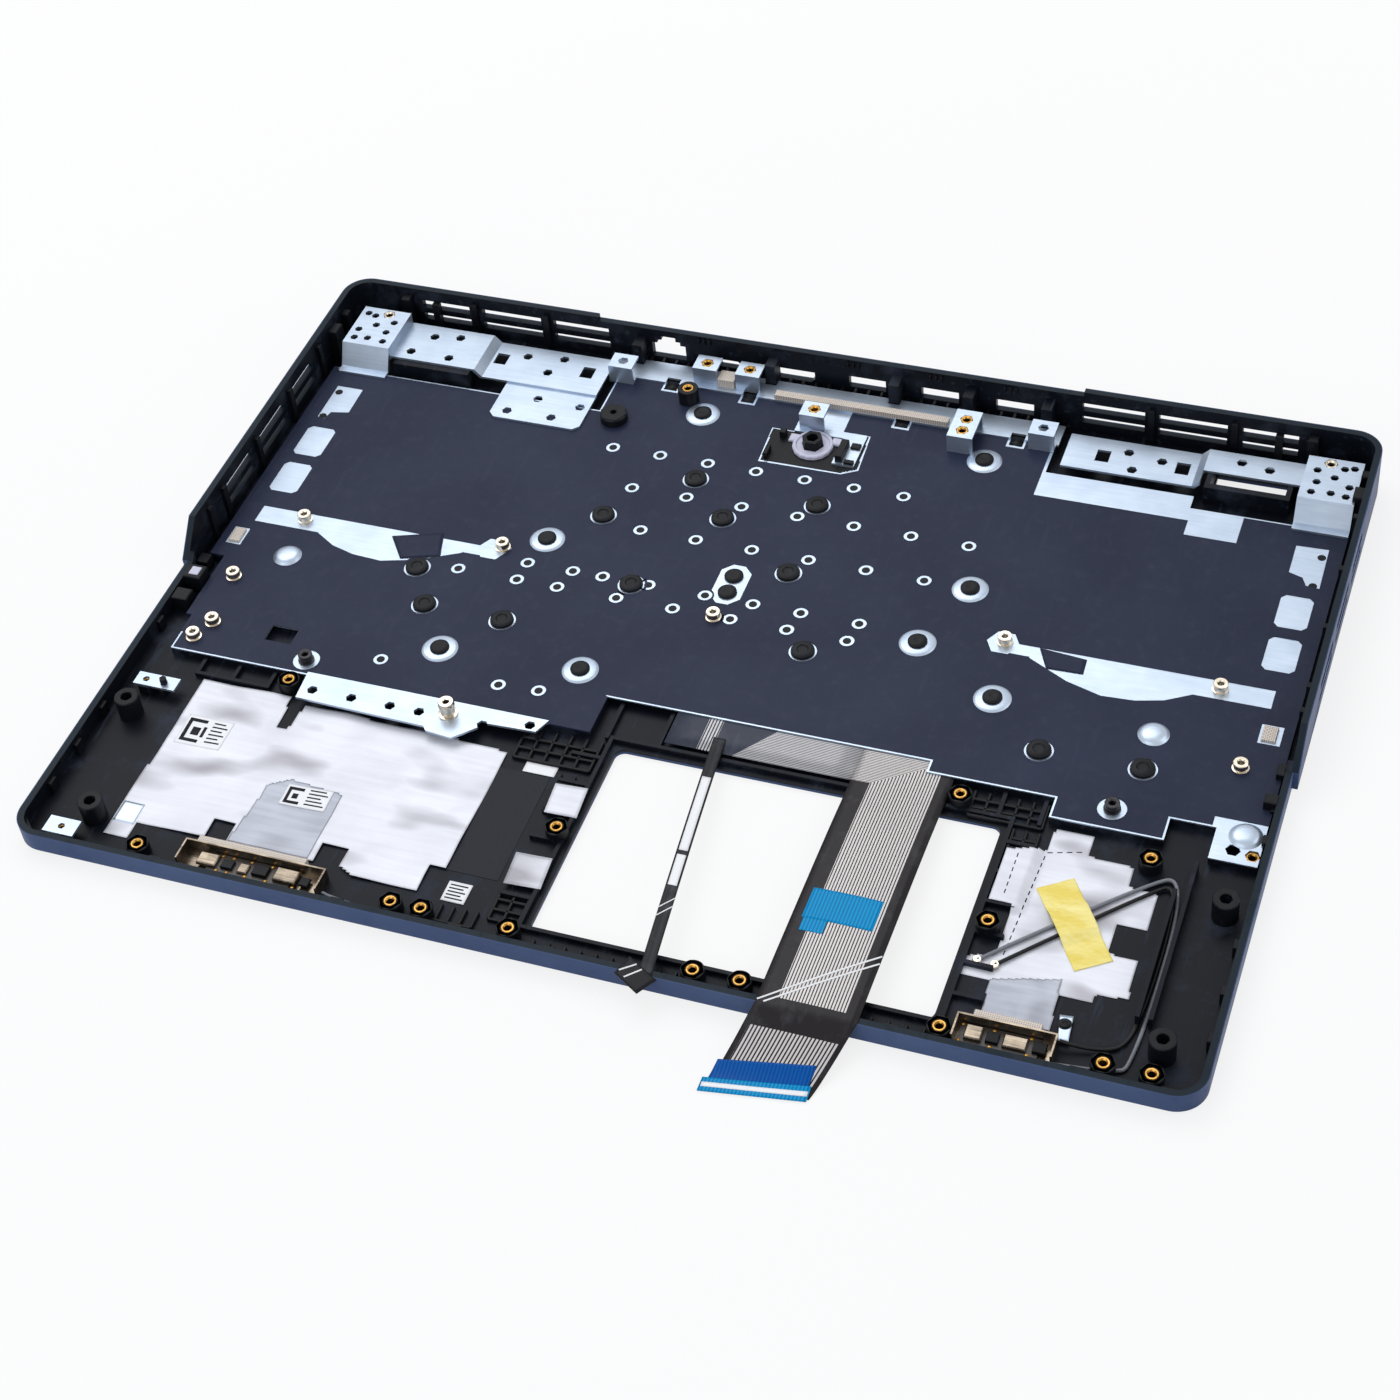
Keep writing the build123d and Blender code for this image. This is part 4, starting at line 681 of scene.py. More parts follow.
STAKES = [(-39.7, 99.5), (56.0, 99.2), (-67.6, 30.4), (-81.7, -23.3), (-36.4, -20.9),
          (67.4, 41.6), (58.4, 15.6), (86.0, -1.0)]
TWIN_STAKES = [(-4.6, 29.2), (-4.3, 22.0)]
FILM_STANDOFFS = [(-158.9, -10.1), (-156.1, -30.6), (-159.1, -37.9), (-4.8, 10.6), (160.6, -9.4)]
STEEL_STANDOFFS = FILM_STANDOFFS + [(-148.0, 20.0), (-80.1, 23.6), (83.4, 22.6), (148.7, 19.5)]
DARK_STANDOFFS = [(-120.1, -38.2), (129.5, -33.5)]
DOMES = [(left(30.8), rear(123.6)), (right(42.8), rear(129.3)), (right(9.8), rear(160.3))]
PLATE_DOTS = [(-164.3, 81.3), (-164.5, 68.7), (166.4, 81.2), (166.1, 68.4), (-125.7, 26.7)]
SLOTS = [-54.7, -27.6, 25.2, 63.5]
FRONT_BOSS_Y = front(6.9)
BOSSES = [(left(55.5), front(78.8)), (left(41.0), FRONT_BOSS_Y), (-55.4, FRONT_BOSS_Y),
          (-46.1, FRONT_BOSS_Y), (-19.6, FRONT_BOSS_Y), (-20.1, -81.5), (34.8, FRONT_BOSS_Y),
          (48.3, FRONT_BOSS_Y), (104.0, FRONT_BOSS_Y), (87.2, -39.6), (106.8, -81.8),
          (right(29.1), FRONT_BOSS_Y), (right(16.3), FRONT_BOSS_Y), (right(32.9), -48.9)]
FILM_BOSS = (left(109.4), rear(36.1))
REAR_BOSS = (-46.6, 105.4)
POWER = (0.5, rear(33.5))
TUBES = [(left(12.2), front(56.3)), (left(21.7), front(15.5)), (right(9.8), front(65.8)),
         (right(15.6), front(15.8))]
LOW_INSERTS = [(right(6.6), -40.4, 4.3), (left(12.4), front(67.5), 5.0),
               (left(16.0), FRONT_BOSS_Y, 5.0), (*REAR_BOSS, REAR_BOSS_TOP)]
TAB_INSERTS = at([(-43.8, rear(9.0)), (-28.9, rear(9.0)), (47.2, rear(16.4)), (47.2, rear(21.8)),
                  (-2.0, rear(23.0))], TAB_TOP)
HINGE_INSERTS = at([(left(18.2), rear(11.9)), (right(14.6), rear(11.9))], HINGE_TOP)


def film_hole_rims():
    """Round lips that finish the film's small holes, and dark floors in the plate's holes and slots."""
    rims = [(RING_HOLES, 2.3, 2.85), (STAKES, 5.5, 6.5), (SNAPS, 4.3, 5.1), (DARK_STANDOFFS, 4.2, 4.95),
            (DOMES[:2], 4.7, 5.2), (FILM_STANDOFFS, 2.55, 3.2), ([FILM_BOSS], 4.5, 5.2)]
    for i, (places, inner, outer) in enumerate(rims):
        lip = ring_profile(inner, outer, -0.1, 0.03)
        turned(f"film_rim_{i}", lip, at(places, FILM_TOP), FILM)
    disc = [(0.0, 0.0), (1.3, 0.0), (1.3, 0.04), (0.0, 0.04)]
    turned("ring_centres", disc, at(RING_HOLES + PLATE_DOTS, PLATE_TOP), BLACK)
    slots = [rect(x - 2.2, x + 2.2, rear(17.7), rear(13.3)) for x in SLOTS]
    drape("slot_floors", slots, level(PLATE_TOP + 0.06), BLACK, steps=(2, 2),
          thickness=0.04)

def film_lip():
    """The film's edge, turned down over the plate along both sides."""
    section = [(-1.3, 0.06), (0.12, 0.06), (0.12, -0.62), (0.03, -0.62), (0.03, -0.02), (-1.3, -0.02)]
    lines = [[(left(5.6), rear(33.0)), (left(5.6), rear(128.5)), (left(10.8), rear(128.5)),
              (left(10.8), rear(155.5)), (left(12.8), rear(155.5)), (left(12.8), rear(163.0))],
             [(left(139.4), rear(170.4)), (left(152.5), rear(170.4)), (left(152.5), rear(155.5))],
             [(right(4.6), rear(155.1)), (right(4.6), rear(33.0))]]
    for i, corners in enumerate(lines):
        edge_strip(f"film_lip_{i}", corners, section, FILM_TOP, FILM)


def plate_domes():
    """Round domes pressed up in the plate, and the dimples round its stakes."""
    dome = [(0.0, 0.0), (4.8, 0.0), (4.45, 0.27), (4.1, 0.62), (3.75, 0.92), (3.0, 1.32), (1.5, 1.5),
            (0.0, 1.53)]
    turned("pressed_domes", dome, at(DOMES, PLATE_TOP), ZINC)
    dimple = [(1.9, 0.0), (1.9, 0.64), (4.85, 0.64), (5.2, 0.46), (5.55, 0.24), (5.8, 0.08), (5.8, 0.0)]
    turned("stake_dimples", dimple, at(STAKES, PLATE_TOP), ZINC, sides=36)


def wall_hooks():
    """Small snap hooks and stiffening ribs along the inner faces of the walls."""
    front_xs = [-162.0, -128.0, -70.0, -34.0, -6.0, 20.0, 62.0, 92.0, 142.0, 166.0]
    pillars = (-69.5, -22.5, 20.0, 45.0, 71.0)
    boxes = [(x - 2.0, x + 2.0, front(WALL), front(3.5), 3.7, 6.4) for x in front_xs]
    for d in (22.0, 38.0, 54.0, 92.0, 104.0):
        boxes += both_sides(3.7, 5.1, front(d) - 1.6, front(d) + 1.6, 6.2)
    for d in (36.0, 59.3, 84.3, 109.0, 119.0):
        boxes += both_sides(WALL, 3.6, rear(d) - 1.0, rear(d) + 1.0, HOOK_TOP)
    for d in (46.4, 72.9):
        boxes += both_sides(d - 1.0, d + 1.0, rear(3.6), rear(WALL), HOOK_TOP)
    boxes += [(x - 0.5, x + 0.5, rear(4.6), rear(WALL), DECK, 5.0) for x in np.arange(-80.0, 82.0, 4.5)
              if min(abs(x - pillar) for pillar in pillars) > 2.6]
    boxes += [(x - 2.2 + i, x - 1.6 + i, rear(3.1), rear(WALL), 13.6, HOOK_TOP)
              for x in (-47.0, 5.0, 33.0, 58.0) for i in (0.0, 1.9, 3.8)]
    blocks("wall_hooks", boxes, BLACK)


def side_latches():
    """Latch housings at the step in the side walls and beside the hinges, with one pale latch."""
    boxes = [(left(4.0), left(9.4), rear(152.4), rear(147.4), DECK, 7.4),
             (left(4.0), left(10.0), rear(143.6), rear(137.8), DECK, 8.6),
             (left(4.0), left(7.6), rear(134.6), rear(130.6), DECK, 6.8),
             (right(7.4), right(3.7), rear(149.4), rear(145.8), 5.0, 8.2),
             (right(6.2), right(3.7), rear(137.6), rear(133.2), 5.0, 7.4)]
    for d0, d1, y0, y1, top in ((WALL, 5.4, 27.6, 22.4, 15.2), (WALL, 4.6, 17.0, 14.0, 14.6),
                                (20.0, 23.2, 5.4, WALL, 15.4), (31.0, 33.4, 4.4, WALL, 14.2)):
        boxes += both_sides(d0, d1, rear(y0), rear(y1), top)
    blocks("side_latches", boxes, BLACK, bevel=0.3)
    latch = [(left(5.6), left(8.8), rear(142.4), rear(139.0), 8.4, 8.9)]
    blocks("pale_latch", latch, WHITE)


def power_well():
    """Dark moulding round the power button, the ears of its light ring and the sleeve of its stem."""
    x, y = POWER
    outline = [(-14.9, rear(28.1)), (-14.2, rear(43.6)), (13.0, rear(43.4)), (17.5, rear(40.7)),
               (16.7, rear(24.9)), (-7.4, rear(24.9)), (-7.4, rear(28.1))]
    cut_sheet("power_tray", outline, level(PLATE_TOP + 0.06), BLACK, step=0.4,
              thickness=0.05, holes=[(x, y, 6.3)])
    guides = [(9.8, 12.2, rear(39.6), rear(31.0), 5.5, 8.2), (12.9, 16.0, rear(32.6), rear(30.2), 5.5, 6.4),
              (12.9, 16.0, rear(40.2), rear(38.6), 5.5, 6.6),
              (-13.4, -12.2, rear(42.6), rear(38.0), PLATE_TOP, 7.0),
              (-11.4, -9.4, rear(31.8), rear(29.6), PLATE_TOP, 7.4)]
    blocks("power_guides", guides, BLACK)
    ears = [(x - 8.6, x - 5.4, y + 0.6, y + 4.0, PLATE_TOP, 5.75),
            (x + 5.4, x + 8.8, y + 1.8, y + 5.0, PLATE_TOP, 5.75)]
    blocks("ring_ears", ears, WHITE, bevel=0.3)
    rim, sleeve = ring_profile(5.4, 6.5, 5.7, 6.15, 0.2), ring_profile(1.9, 3.12, 5.0, 8.86, 0.3)
    turned("ring_rim", rim, [(x, y, 0.0)], WHITE, sides=40)
    turned("stem_sleeve", sleeve, [(x, y, 0.0)], BLACK, sides=32, body="power_button")


def deck_lattice():
    """Thin crossing ribs on the deck in front of the plate, on both sides of the touchpad window."""
    fields = [(-44.0, -20.0, -57.0, -45.0, 5, 3), (90.5, 112.0, -44.2, -35.0, 5, 3),
              (104.6, 112.0, -53.0, -46.0, 2, 2), (-27.5, -18.6, -74.5, -60.0, 2, 4),
              (-27.5, -18.6, -116.0, -105.0, 2, 3), (-45.6, -31.0, -120.5, -114.6, 4, 1),
              (56.0, 100.0, -123.4, -119.6, 9, 0), (-12.0, 30.0, -123.4, -119.6, 9, 0)]
    half, top = 0.4, RIB_TOP - 0.4
    boxes = []
    for x0, x1, y0, y1, nx, ny in fields:
        boxes += [(x - half, x + half, y0, y1, DECK, top) for x in np.linspace(x0, x1, nx + 1)]
        boxes += [(x0, x1, y - half, y + half, DECK, top) for y in np.linspace(y0, y1, ny + 1)[:ny]]
    blocks("deck_lattice", boxes, BLACK)


def antenna_parts():
    """Small cans, contacts and solder pads on the antenna boards."""
    def on_board(d, sizes):
        return [(x, x + w, front(d), front(d + deep), BOARD_TOP, BOARD_TOP + h) for x, w, deep, h in sizes]

    cans = on_board(6.2, [(-117.0, 6.0, 4.2, 1.2), (-104.0, 3.0, 3.4, 0.9), (-92.5, 7.0, 4.6, 1.4),
                          (110.6, 4.6, 4.4, 1.3), (121.0, 6.4, 4.0, 1.1)])
    blocks("antenna_cans", cans, BRONZE, bevel=0.3)
    chips = on_board(6.6, [(-109.4, 3.6, 3.0, 1.0), (-99.4, 4.6, 3.6, 1.2), (-84.6, 3.0, 3.0, 0.8),
                           (116.4, 3.4, 3.2, 1.0), (129.0, 3.6, 3.4, 1.0)])
    blocks("antenna_chips", chips, BLACK)
    pad_xs = (-110.4, -107.0, -101.2, -94.6, -86.0, 109.4, 118.0, 128.0)
    pads = [(x, y, BOARD_TOP) for x in pad_xs for y in (front(5.6), front(11.0))]
    dot = [(0.0, 0.0), (0.6, 0.0), (0.5, 0.2), (0.25, 0.32), (0.0, 0.34)]
    turned("solder_dots", dot, pads, BRASS, sides=10)


def fan_flaps():
    """Flaps of film over the fan windows, side gaskets, and the screw clip beside the right antenna."""
    gasket_top, clip_top = PLATE_TOP + 0.8, 3.2
    pads = [(right(13.2), right(9.0), rear(124.0), rear(118.2), PLATE_TOP, gasket_top),
            (left(8.8), left(12.4), rear(121.8), rear(115.8), PLATE_TOP, gasket_top)]
    blocks("side_gaskets", pads, GASKET)
    flaps = [[(-110.3, 10.8), (-98.1, 14.8), (-101.1, 25.1), (-117.0, 19.6)],
             [(97.9, 15.0), (109.0, 15.4), (108.7, 21.3), (94.1, 22.6)]]
    drape("fan_flaps", flaps, level(FILM_TOP + 0.12), FILM)
    clip = [[(134.5, -114.0), (137.3, -114.0), (136.6, -105.4), (133.0, -105.8)]]
    drape("antenna_clip", clip, level(clip_top), ZINC, thickness=0.5)
    post = [(0.0, -1.5), (1.9, -1.5), (1.9, 0.0), (1.4, 0.05), (1.3, 0.4), (0.7, 0.45), (0.5, 0.2),
            (0.0, 0.2)]
    turned("clip_post", post, [(135.0, -108.4, clip_top)], BLACK)


def stake_heads():
    """Melted plastic heads, crowned like a mushroom, and flatter round snaps."""
    head = [(0.0, 0.0), (2.6, 0.0), (3.0, 0.25), (2.95, 0.65), (2.5, 0.95), (1.5, 1.1), (0.9, 1.0),
            (0.0, 0.9)]
    snap = [(0.0, 0.0), (3.5, 0.0), (3.7, 0.3), (3.6, 0.9), (3.1, 1.25), (1.9, 1.3), (1.5, 0.9),
            (0.0, 0.85)]
    places = at(STAKES, PLATE_TOP + 0.6) + at(TWIN_STAKES, PLATE_TOP)
    heads = turned("stake_caps", head, places, BLACK)
    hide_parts("stake_heads")
    turned("snap_caps", snap, at(SNAPS, PLATE_TOP), BLACK)


def screw_hardware():
    """Brass inserts, their plastic bosses and tubes, and turned standoffs on the plate."""
    insert = [(1.0, -3.2), (1.9, -3.2), (1.9, -0.15), (1.75, 0.02), (1.35, 0.02), (1.2, -0.15), (1.0, -0.4)]
    places = at(BOSSES, BOSS_TOP) + LOW_INSERTS + TAB_INSERTS
    inserts = turned("insert_rings", insert, places, BRASS)
    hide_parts("brass_inserts")
    turned("hinge_insert_rings", insert, HINGE_INSERTS, NICKEL)
    collar = ring_profile(1.9, 3.4, DECK - BOSS_TOP - 0.2, 0.0, 0.2)
    rear_collar = ring_profile(1.9, 3.4, -5.4, 0.02, 0.2)
    sleeve = [(1.2, -2.0), (4.55, -3.1), (4.55, -0.6), (3.9, 0.03), (1.6, 0.03), (1.2, -0.3)]
    tube = [(1.7, -1.0), (3.72, -7.7), (3.72, -0.3), (3.45, 0.02), (1.9, 0.02), (1.7, -0.2)]
    for name, profile, spots, top in (("boss_collars", collar, BOSSES, BOSS_TOP),
                                      ("rear_collar", rear_collar, [REAR_BOSS], REAR_BOSS_TOP),
                                      ("film_boss_sleeve", sleeve, [FILM_BOSS], FILM_BOSS_TOP),
                                      ("corner_tubes", tube, TUBES, TUBE_TOP)):
        turned(name, profile, at(spots, top), BLACK)
    standoff = [(0.9, 0.0), (2.5, 0.0), (2.5, 0.5), (2.1, 0.6), (2.1, 2.2), (2.2, 2.3), (2.2, 2.65),
                (2.0, 2.8), (1.2, 2.8), (0.9, 2.5)]
    steel = turned("turned_standoffs", standoff, at(STEEL_STANDOFFS, PLATE_TOP), NICKEL)
    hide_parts("steel_standoffs")
    dark = turned("black_standoffs", standoff, at(DARK_STANDOFFS, PLATE_TOP), GUNMETAL)
    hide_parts("dark_standoffs")
    stud = [(0.9, 0.0), (3.0, 0.0), (3.0, 0.6), (2.2, 0.8), (2.2, 3.4), (2.5, 3.5), (2.5, 4.9),
            (2.2, 5.4), (1.2, 5.4), (0.9, 5.1)]
    palm = turned("turned_stud", stud, [(-68.0, -48.5, 5.6)], NICKEL)
    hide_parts("palm_stud")


def carried(path, samples):
    """Points along a smooth line through a few YZ places: cubic steps between them with the
    slope of their neighbours."""
    path = np.array(path, float)
    reach = np.concatenate([[0.0], np.cumsum(np.hypot(*np.diff(path, axis=0).T))])
    slope = np.gradient(path, reach, axis=0)
    s = np.linspace(0.0, reach[-1], samples)
    k = np.clip(np.searchsorted(reach, s, "right") - 1, 0, len(path) - 2)
    h = (reach[k + 1] - reach[k])[:, None]
    t = ((s - reach[k])[:, None]) / h
    a, b = path[k], path[k + 1]
    ma, mb = slope[k] * h, slope[k + 1] * h
    return ((2 * t ** 3 - 3 * t ** 2 + 1) * a + (t ** 3 - 2 * t ** 2 + t) * ma
            + (3 * t ** 2 - 2 * t ** 3) * b + (t ** 3 - t ** 2) * mb), s


def cable_edges(edges, y):
    """Left and right x of a flat cable at each y, from a few places of (y, left x, right x)."""
    ys, lefts, rights = np.array(sorted(edges), float).T
    return np.interp(y, ys, lefts), np.interp(y, ys, rights)


def cable_surface(path, edges, bow=0.0):
    """Lower face of a flat cable as a height over the plan: the path's height at that y, and a bow
    that rises to its middle, bow sin(pi u) sin(pi s)."""
    line, s = carried(path, 300)
    order = np.argsort(line[:, 0])
    ys, zs = line[order].T

    def height(x, y):
        x0, x1 = cable_edges(edges, y)
        u = np.clip((x - x0) / (x1 - x0), 0.0, 1.0)
        run = np.interp(y, ys, s[order]) / s[-1]
        return np.interp(y, ys, zs) + bow * np.sin(np.pi * u) * np.sin(np.pi * run)
    return height


CABLE_THICK = 0.25
PRINT_THICK = 0.05


def flat_cable(name, path, edges, material, samples=90, across=9, bow=0.0):
    """Flat cable: a line across, from its left to its right edge, carried along a smooth YZ path.
    Its edges are given as (y, left x, right x), and it bows up a little between them."""
    line, s = carried(path, samples)
    x0, x1 = cable_edges(edges, line[:, 0])
    u = np.linspace(0.0, 1.0, across)
    run = (s / s[-1])[:, None]
    x = x0[:, None] + (x1 - x0)[:, None] * u
    y = np.repeat(line[:, :1], across, 1)
    z = line[:, 1:] + CABLE_THICK + bow * np.sin(np.pi * u)[None] * np.sin(np.pi * run)
    points = np.stack([x, y, z], -1).reshape(-1, 3)
    uv = np.stack([np.repeat(u[None], samples, 0), np.repeat(run, across, 1)], -1).reshape(-1, 2)
    quads = quads_of(samples, across)[:, ::-1]
    return make_sheet(name, points, quads, material, CABLE_THICK * 0.9, uv)


WIDE_PATH = [(-22.6, 4.0), (-36.0, 4.0), (-60.0, 5.6), (-95.0, 7.0), (front(2.2), RIM_Z),
             (front(0), RIM_Z), (front(-3.0), 6.4), (front(-12.0), 2.6), (front(-18.0), 0.6),
             (front(-20.4), 0.12), (front(-21.6), 0.03)]
WIDE_EDGES = [(-20.0, 55.3, 83.7), (front(0), 55.3, 83.7), (front(-26.0), 48.7, 75.4)]
WIDE_BOW = 0.5
ROOT_PATH = [(-22.8, 4.0), (-41.5, 4.0)]
ROOT_EDGES = [(-42.0, -2.0, 55.6), (-20.0, -2.0, 55.6)]
NARROW_PATH = [(-36.0, 4.25), (-50.0, 5.4), (-95.0, 7.3), (front(2.2), RIM_Z), (front(0.4), RIM_Z)]
NARROW_EDGES = [(-36.0, 11.6, 15.4), (front(0.4), 21.8, 25.6)]


def wide_cable():
    """Keyboard cable with its patch, its printed lines and the stiffener at its end."""
    wide = flat_cable("wide_cable", WIDE_PATH, WIDE_EDGES, TRACES, bow=WIDE_BOW, across=15)
    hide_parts("keyboard_ribbon")
    root = flat_cable("cable_root", ROOT_PATH, ROOT_EDGES, ROOT, samples=4)
    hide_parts("keyboard_ribbon")
    face = raised(cable_surface(WIDE_PATH, WIDE_EDGES, WIDE_BOW), CABLE_THICK)
    patches = [rect(58.2, 78.4, -95.6, -84.6), rect(58.8, 65.6, -100.2, -95.6)]
    patch = drape("cable_patch", patches, raised(face, 0.1), BLUE, steps=(24, 14))
    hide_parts("ribbon_patch")
    lines = [stroke((55.6, -125.8), (83.5, -103.0), 0.55), stroke((57.5, -126.2), (83.6, -105.6), 0.55)]
    drape("cable_lines", lines, raised(face, 0.06), WHITE_INK, steps=(40, 2),
          thickness=PRINT_THICK)
    band = [[(49.0, -149.0), (75.7, -144.8), (76.2, -138.9), (49.9, -142.9)]]
    drape("cable_band", band, raised(face, 0.12), DEEP_BLUE, steps=(24, 12))
    end = [[(47.6, -153.4), (76.4, -149.0), (76.4, -144.4), (47.6, -148.9)]]
    stiff = drape("cable_stiffener", end, raised(face, 0.3), BLUE, steps=(24, 10),
                  thickness=0.28)
    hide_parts("ribbon_stiffener")
    strip = [[(48.0, -151.9), (76.1, -147.5), (76.1, -146.0), (48.0, -150.4)]]
    drape("stiffener_strip", strip, raised(face, 0.36), WHITE_INK, steps=(24, 4),
          thickness=PRINT_THICK)


def narrow_cable():
    """Backlight cable with its pale printed fields, and the folded end on the front lip."""
    cable = flat_cable("narrow_cable", NARROW_PATH, NARROW_EDGES, NARROW)
    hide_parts("backlight_ribbon")
    face = raised(cable_surface(NARROW_PATH, NARROW_EDGES), 0.31)

    def middle(y):
        return sum(cable_edges(NARROW_EDGES, y)) / 2

    def field(y0, y1, half):
        x0, x1 = middle(y0), middle(y1)
        return [(x0 - half, y0), (x0 + half, y0), (x1 + half, y1), (x1 - half, y1)]

    fields = [field(-81.6, -52.6, 1.35), field(-94.6, -83.2, 1.35)]
    drape("narrow_fields", fields, face, WHITE_INK, steps=(4, 24), thickness=PRINT_THICK)
    marks = [stroke((middle(y) - 1.8, y - 2.2), (middle(y) + 1.8, y + 2.2), 0.35) for y in (-101.0, -104.0)]
    drape("narrow_lines", marks, face, WHITE_INK, steps=(8, 2), thickness=PRINT_THICK)
    end = [[(15.7, -128.2), (23.9, -133.1), (27.5, -127.5), (17.8, -121.8)]]
    drape("narrow_end", end, level(RIM_Z + 0.75), BLACK, thickness=0.45)
    pins = [stroke((16.6, -127.0), (20.6, -123.9), 0.5), stroke((18.7, -128.9), (22.6, -125.2), 0.5)]
    drape("narrow_pins", pins, level(RIM_Z + 0.8), WHITE_INK, steps=(6, 2),
          thickness=PRINT_THICK)


TAPE_X, TAPE_Y = 129.0, -74.4
LEFT_DENTS = soft_bumps(3, 70, (-150, -46), (-116, -51), 6.0, 0.5)
RIGHT_CREASES = soft_bumps(8, 40, (103, 149), (-99, -42), 5.0, 0.16)
TAIL_WRINKLES = soft_bumps(21, 40, (110, 133), (-112, -90), 3.0, 0.3)


def left_face(x, y):
    """Height of the left foil: soft dents that never reach the deck."""
    return np.maximum(FOIL_TOP + 0.35 + LEFT_DENTS(x, y), DECK + 0.15)


def right_face(x, y):
    """Height of the right foil: creases, pressed flat under the crepe tape, with one flap up on the
    ribs, which rises by t t (3 - 2 t)."""
    calm = np.clip((np.hypot(x - TAPE_X, y - TAPE_Y) - 17.0) / 4.0, 0.0, 1.0)
    on_ribs = np.clip((115.5 - x) / 3.5, 0.0, 1.0) * np.clip((y + 76.0) / 3.0, 0.0, 1.0)
    rise = (RIB_TOP - FOIL_TOP + 0.1) * on_ribs * on_ribs * (3 - 2 * on_ribs)
    return np.maximum(FOIL_TOP + 0.1 + rise + RIGHT_CREASES(x, y) * calm, DECK + 0.12)


def wrinkled_face(x, y):
    """Height of the right antenna's tail, more wrinkled than the foil under it."""
    return np.maximum(right_face(x, y) + 0.2 + TAIL_WRINKLES(x, y), 2.15)


def foil_shields():
    """Foil laid on the deck, pressed into soft dents by what lies under it, with the antennas'
    foil tails, its sewn seams and the small foils on the ribs."""
    outline = [(-149.2, -51.3), (-119.0, -51.3), (-118.6, -64.0), (-114.8, -64.0), (-113.6, -53.6),
               (-65.0, -54.6), (-46.5, -55.6), (-46.5, -102.2), (-51.4, -102.2), (-51.4, -112.0),
               (-71.4, -112.0), (-76.4, -109.4), (-76.4, -102.4), (-84.8, -102.4), (-84.8, -109.4),
               (-112.8, -109.4), (-112.8, -102.4), (-119.9, -102.4), (-119.9, -109.4), (-142.5, -109.4),
               (-142.5, -116.0), (-150.0, -116.0)]
    sheet = cut_sheet("left_foil_sheet", outline, left_face, FOIL, 0.7, 0.12)
    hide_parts("left_foil")
    tail = [(-112.6, -109.4), (-87.0, -109.4), (-87.0, -84.6), (-104.6, -82.6), (-110.6, -86.4)]
    sheet = cut_sheet("left_tail_sheet", tail, raised(left_face, 0.14), GREY_FOIL, 0.6, 0.1)
    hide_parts("left_antenna_tail")
    outline = [(115.8, -42.4), (126.6, -42.4), (126.6, -49.8), (140.2, -50.6), (140.2, -57.6),
               (148.6, -58.4), (148.6, -71.3), (140.0, -71.3), (140.0, -81.6), (148.2, -82.0),
               (148.8, -95.2), (139.8, -96.2), (139.8, -98.6), (110.8, -98.8), (103.4, -98.6),
               (103.4, -92.2), (111.2, -90.0), (111.2, -72.8), (104.4, -72.8), (104.4, -54.2),
               (115.2, -51.0)]
    sheet = cut_sheet("right_foil_sheet", outline, right_face, FOIL, 0.6, 0.12,
                      holes=[(x, y, 3.5) for x, y in BOSSES])
    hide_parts("right_foil")
    tail = [(112.6, -111.0), (131.6, -111.0), (130.4, -93.6), (112.0, -98.4)]
    sheet = cut_sheet("right_tail_sheet", tail, wrinkled_face, GREY_FOIL, 0.5, 0.1)
    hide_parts("right_antenna_tail")
    seams = (dashes((115.3, -53.0), (113.2, -90.0)) + dashes((108.2, -55.0), (108.2, -72.0))
             + dashes((115.6, -51.6), (126.4, -48.4)))
    drape("foil_seams", seams, raised(right_face, 0.05), INK, steps=(3, 2), thickness=0.04)
    small = [[(-26.6, -75.6), (-16.6, -75.4), (-17.4, -63.9), (-27.4, -64.4)],
             [(-27.9, -103.4), (-16.8, -102.8), (-17.6, -91.4), (-28.6, -91.8)]]
    drape("rib_foils", small, level(RIB_TOP + 0.15), FOIL, thickness=0.2)
    corner = [rect(-149.6, -142.9, -110.8, -103.1)]
    drape("foil_corner", corner, raised(left_face, 0.1), ZINC)


def rows_of_bars(x0, x1, shorter, cycle, y0, y1, pitch, tall):
    """Rows of thin bars, with ends that step back by turns."""
    return [rect(x0, x1 - shorter * (i % cycle), y, y + tall)
            for i, y in enumerate(np.arange(y0, y1, pitch))]


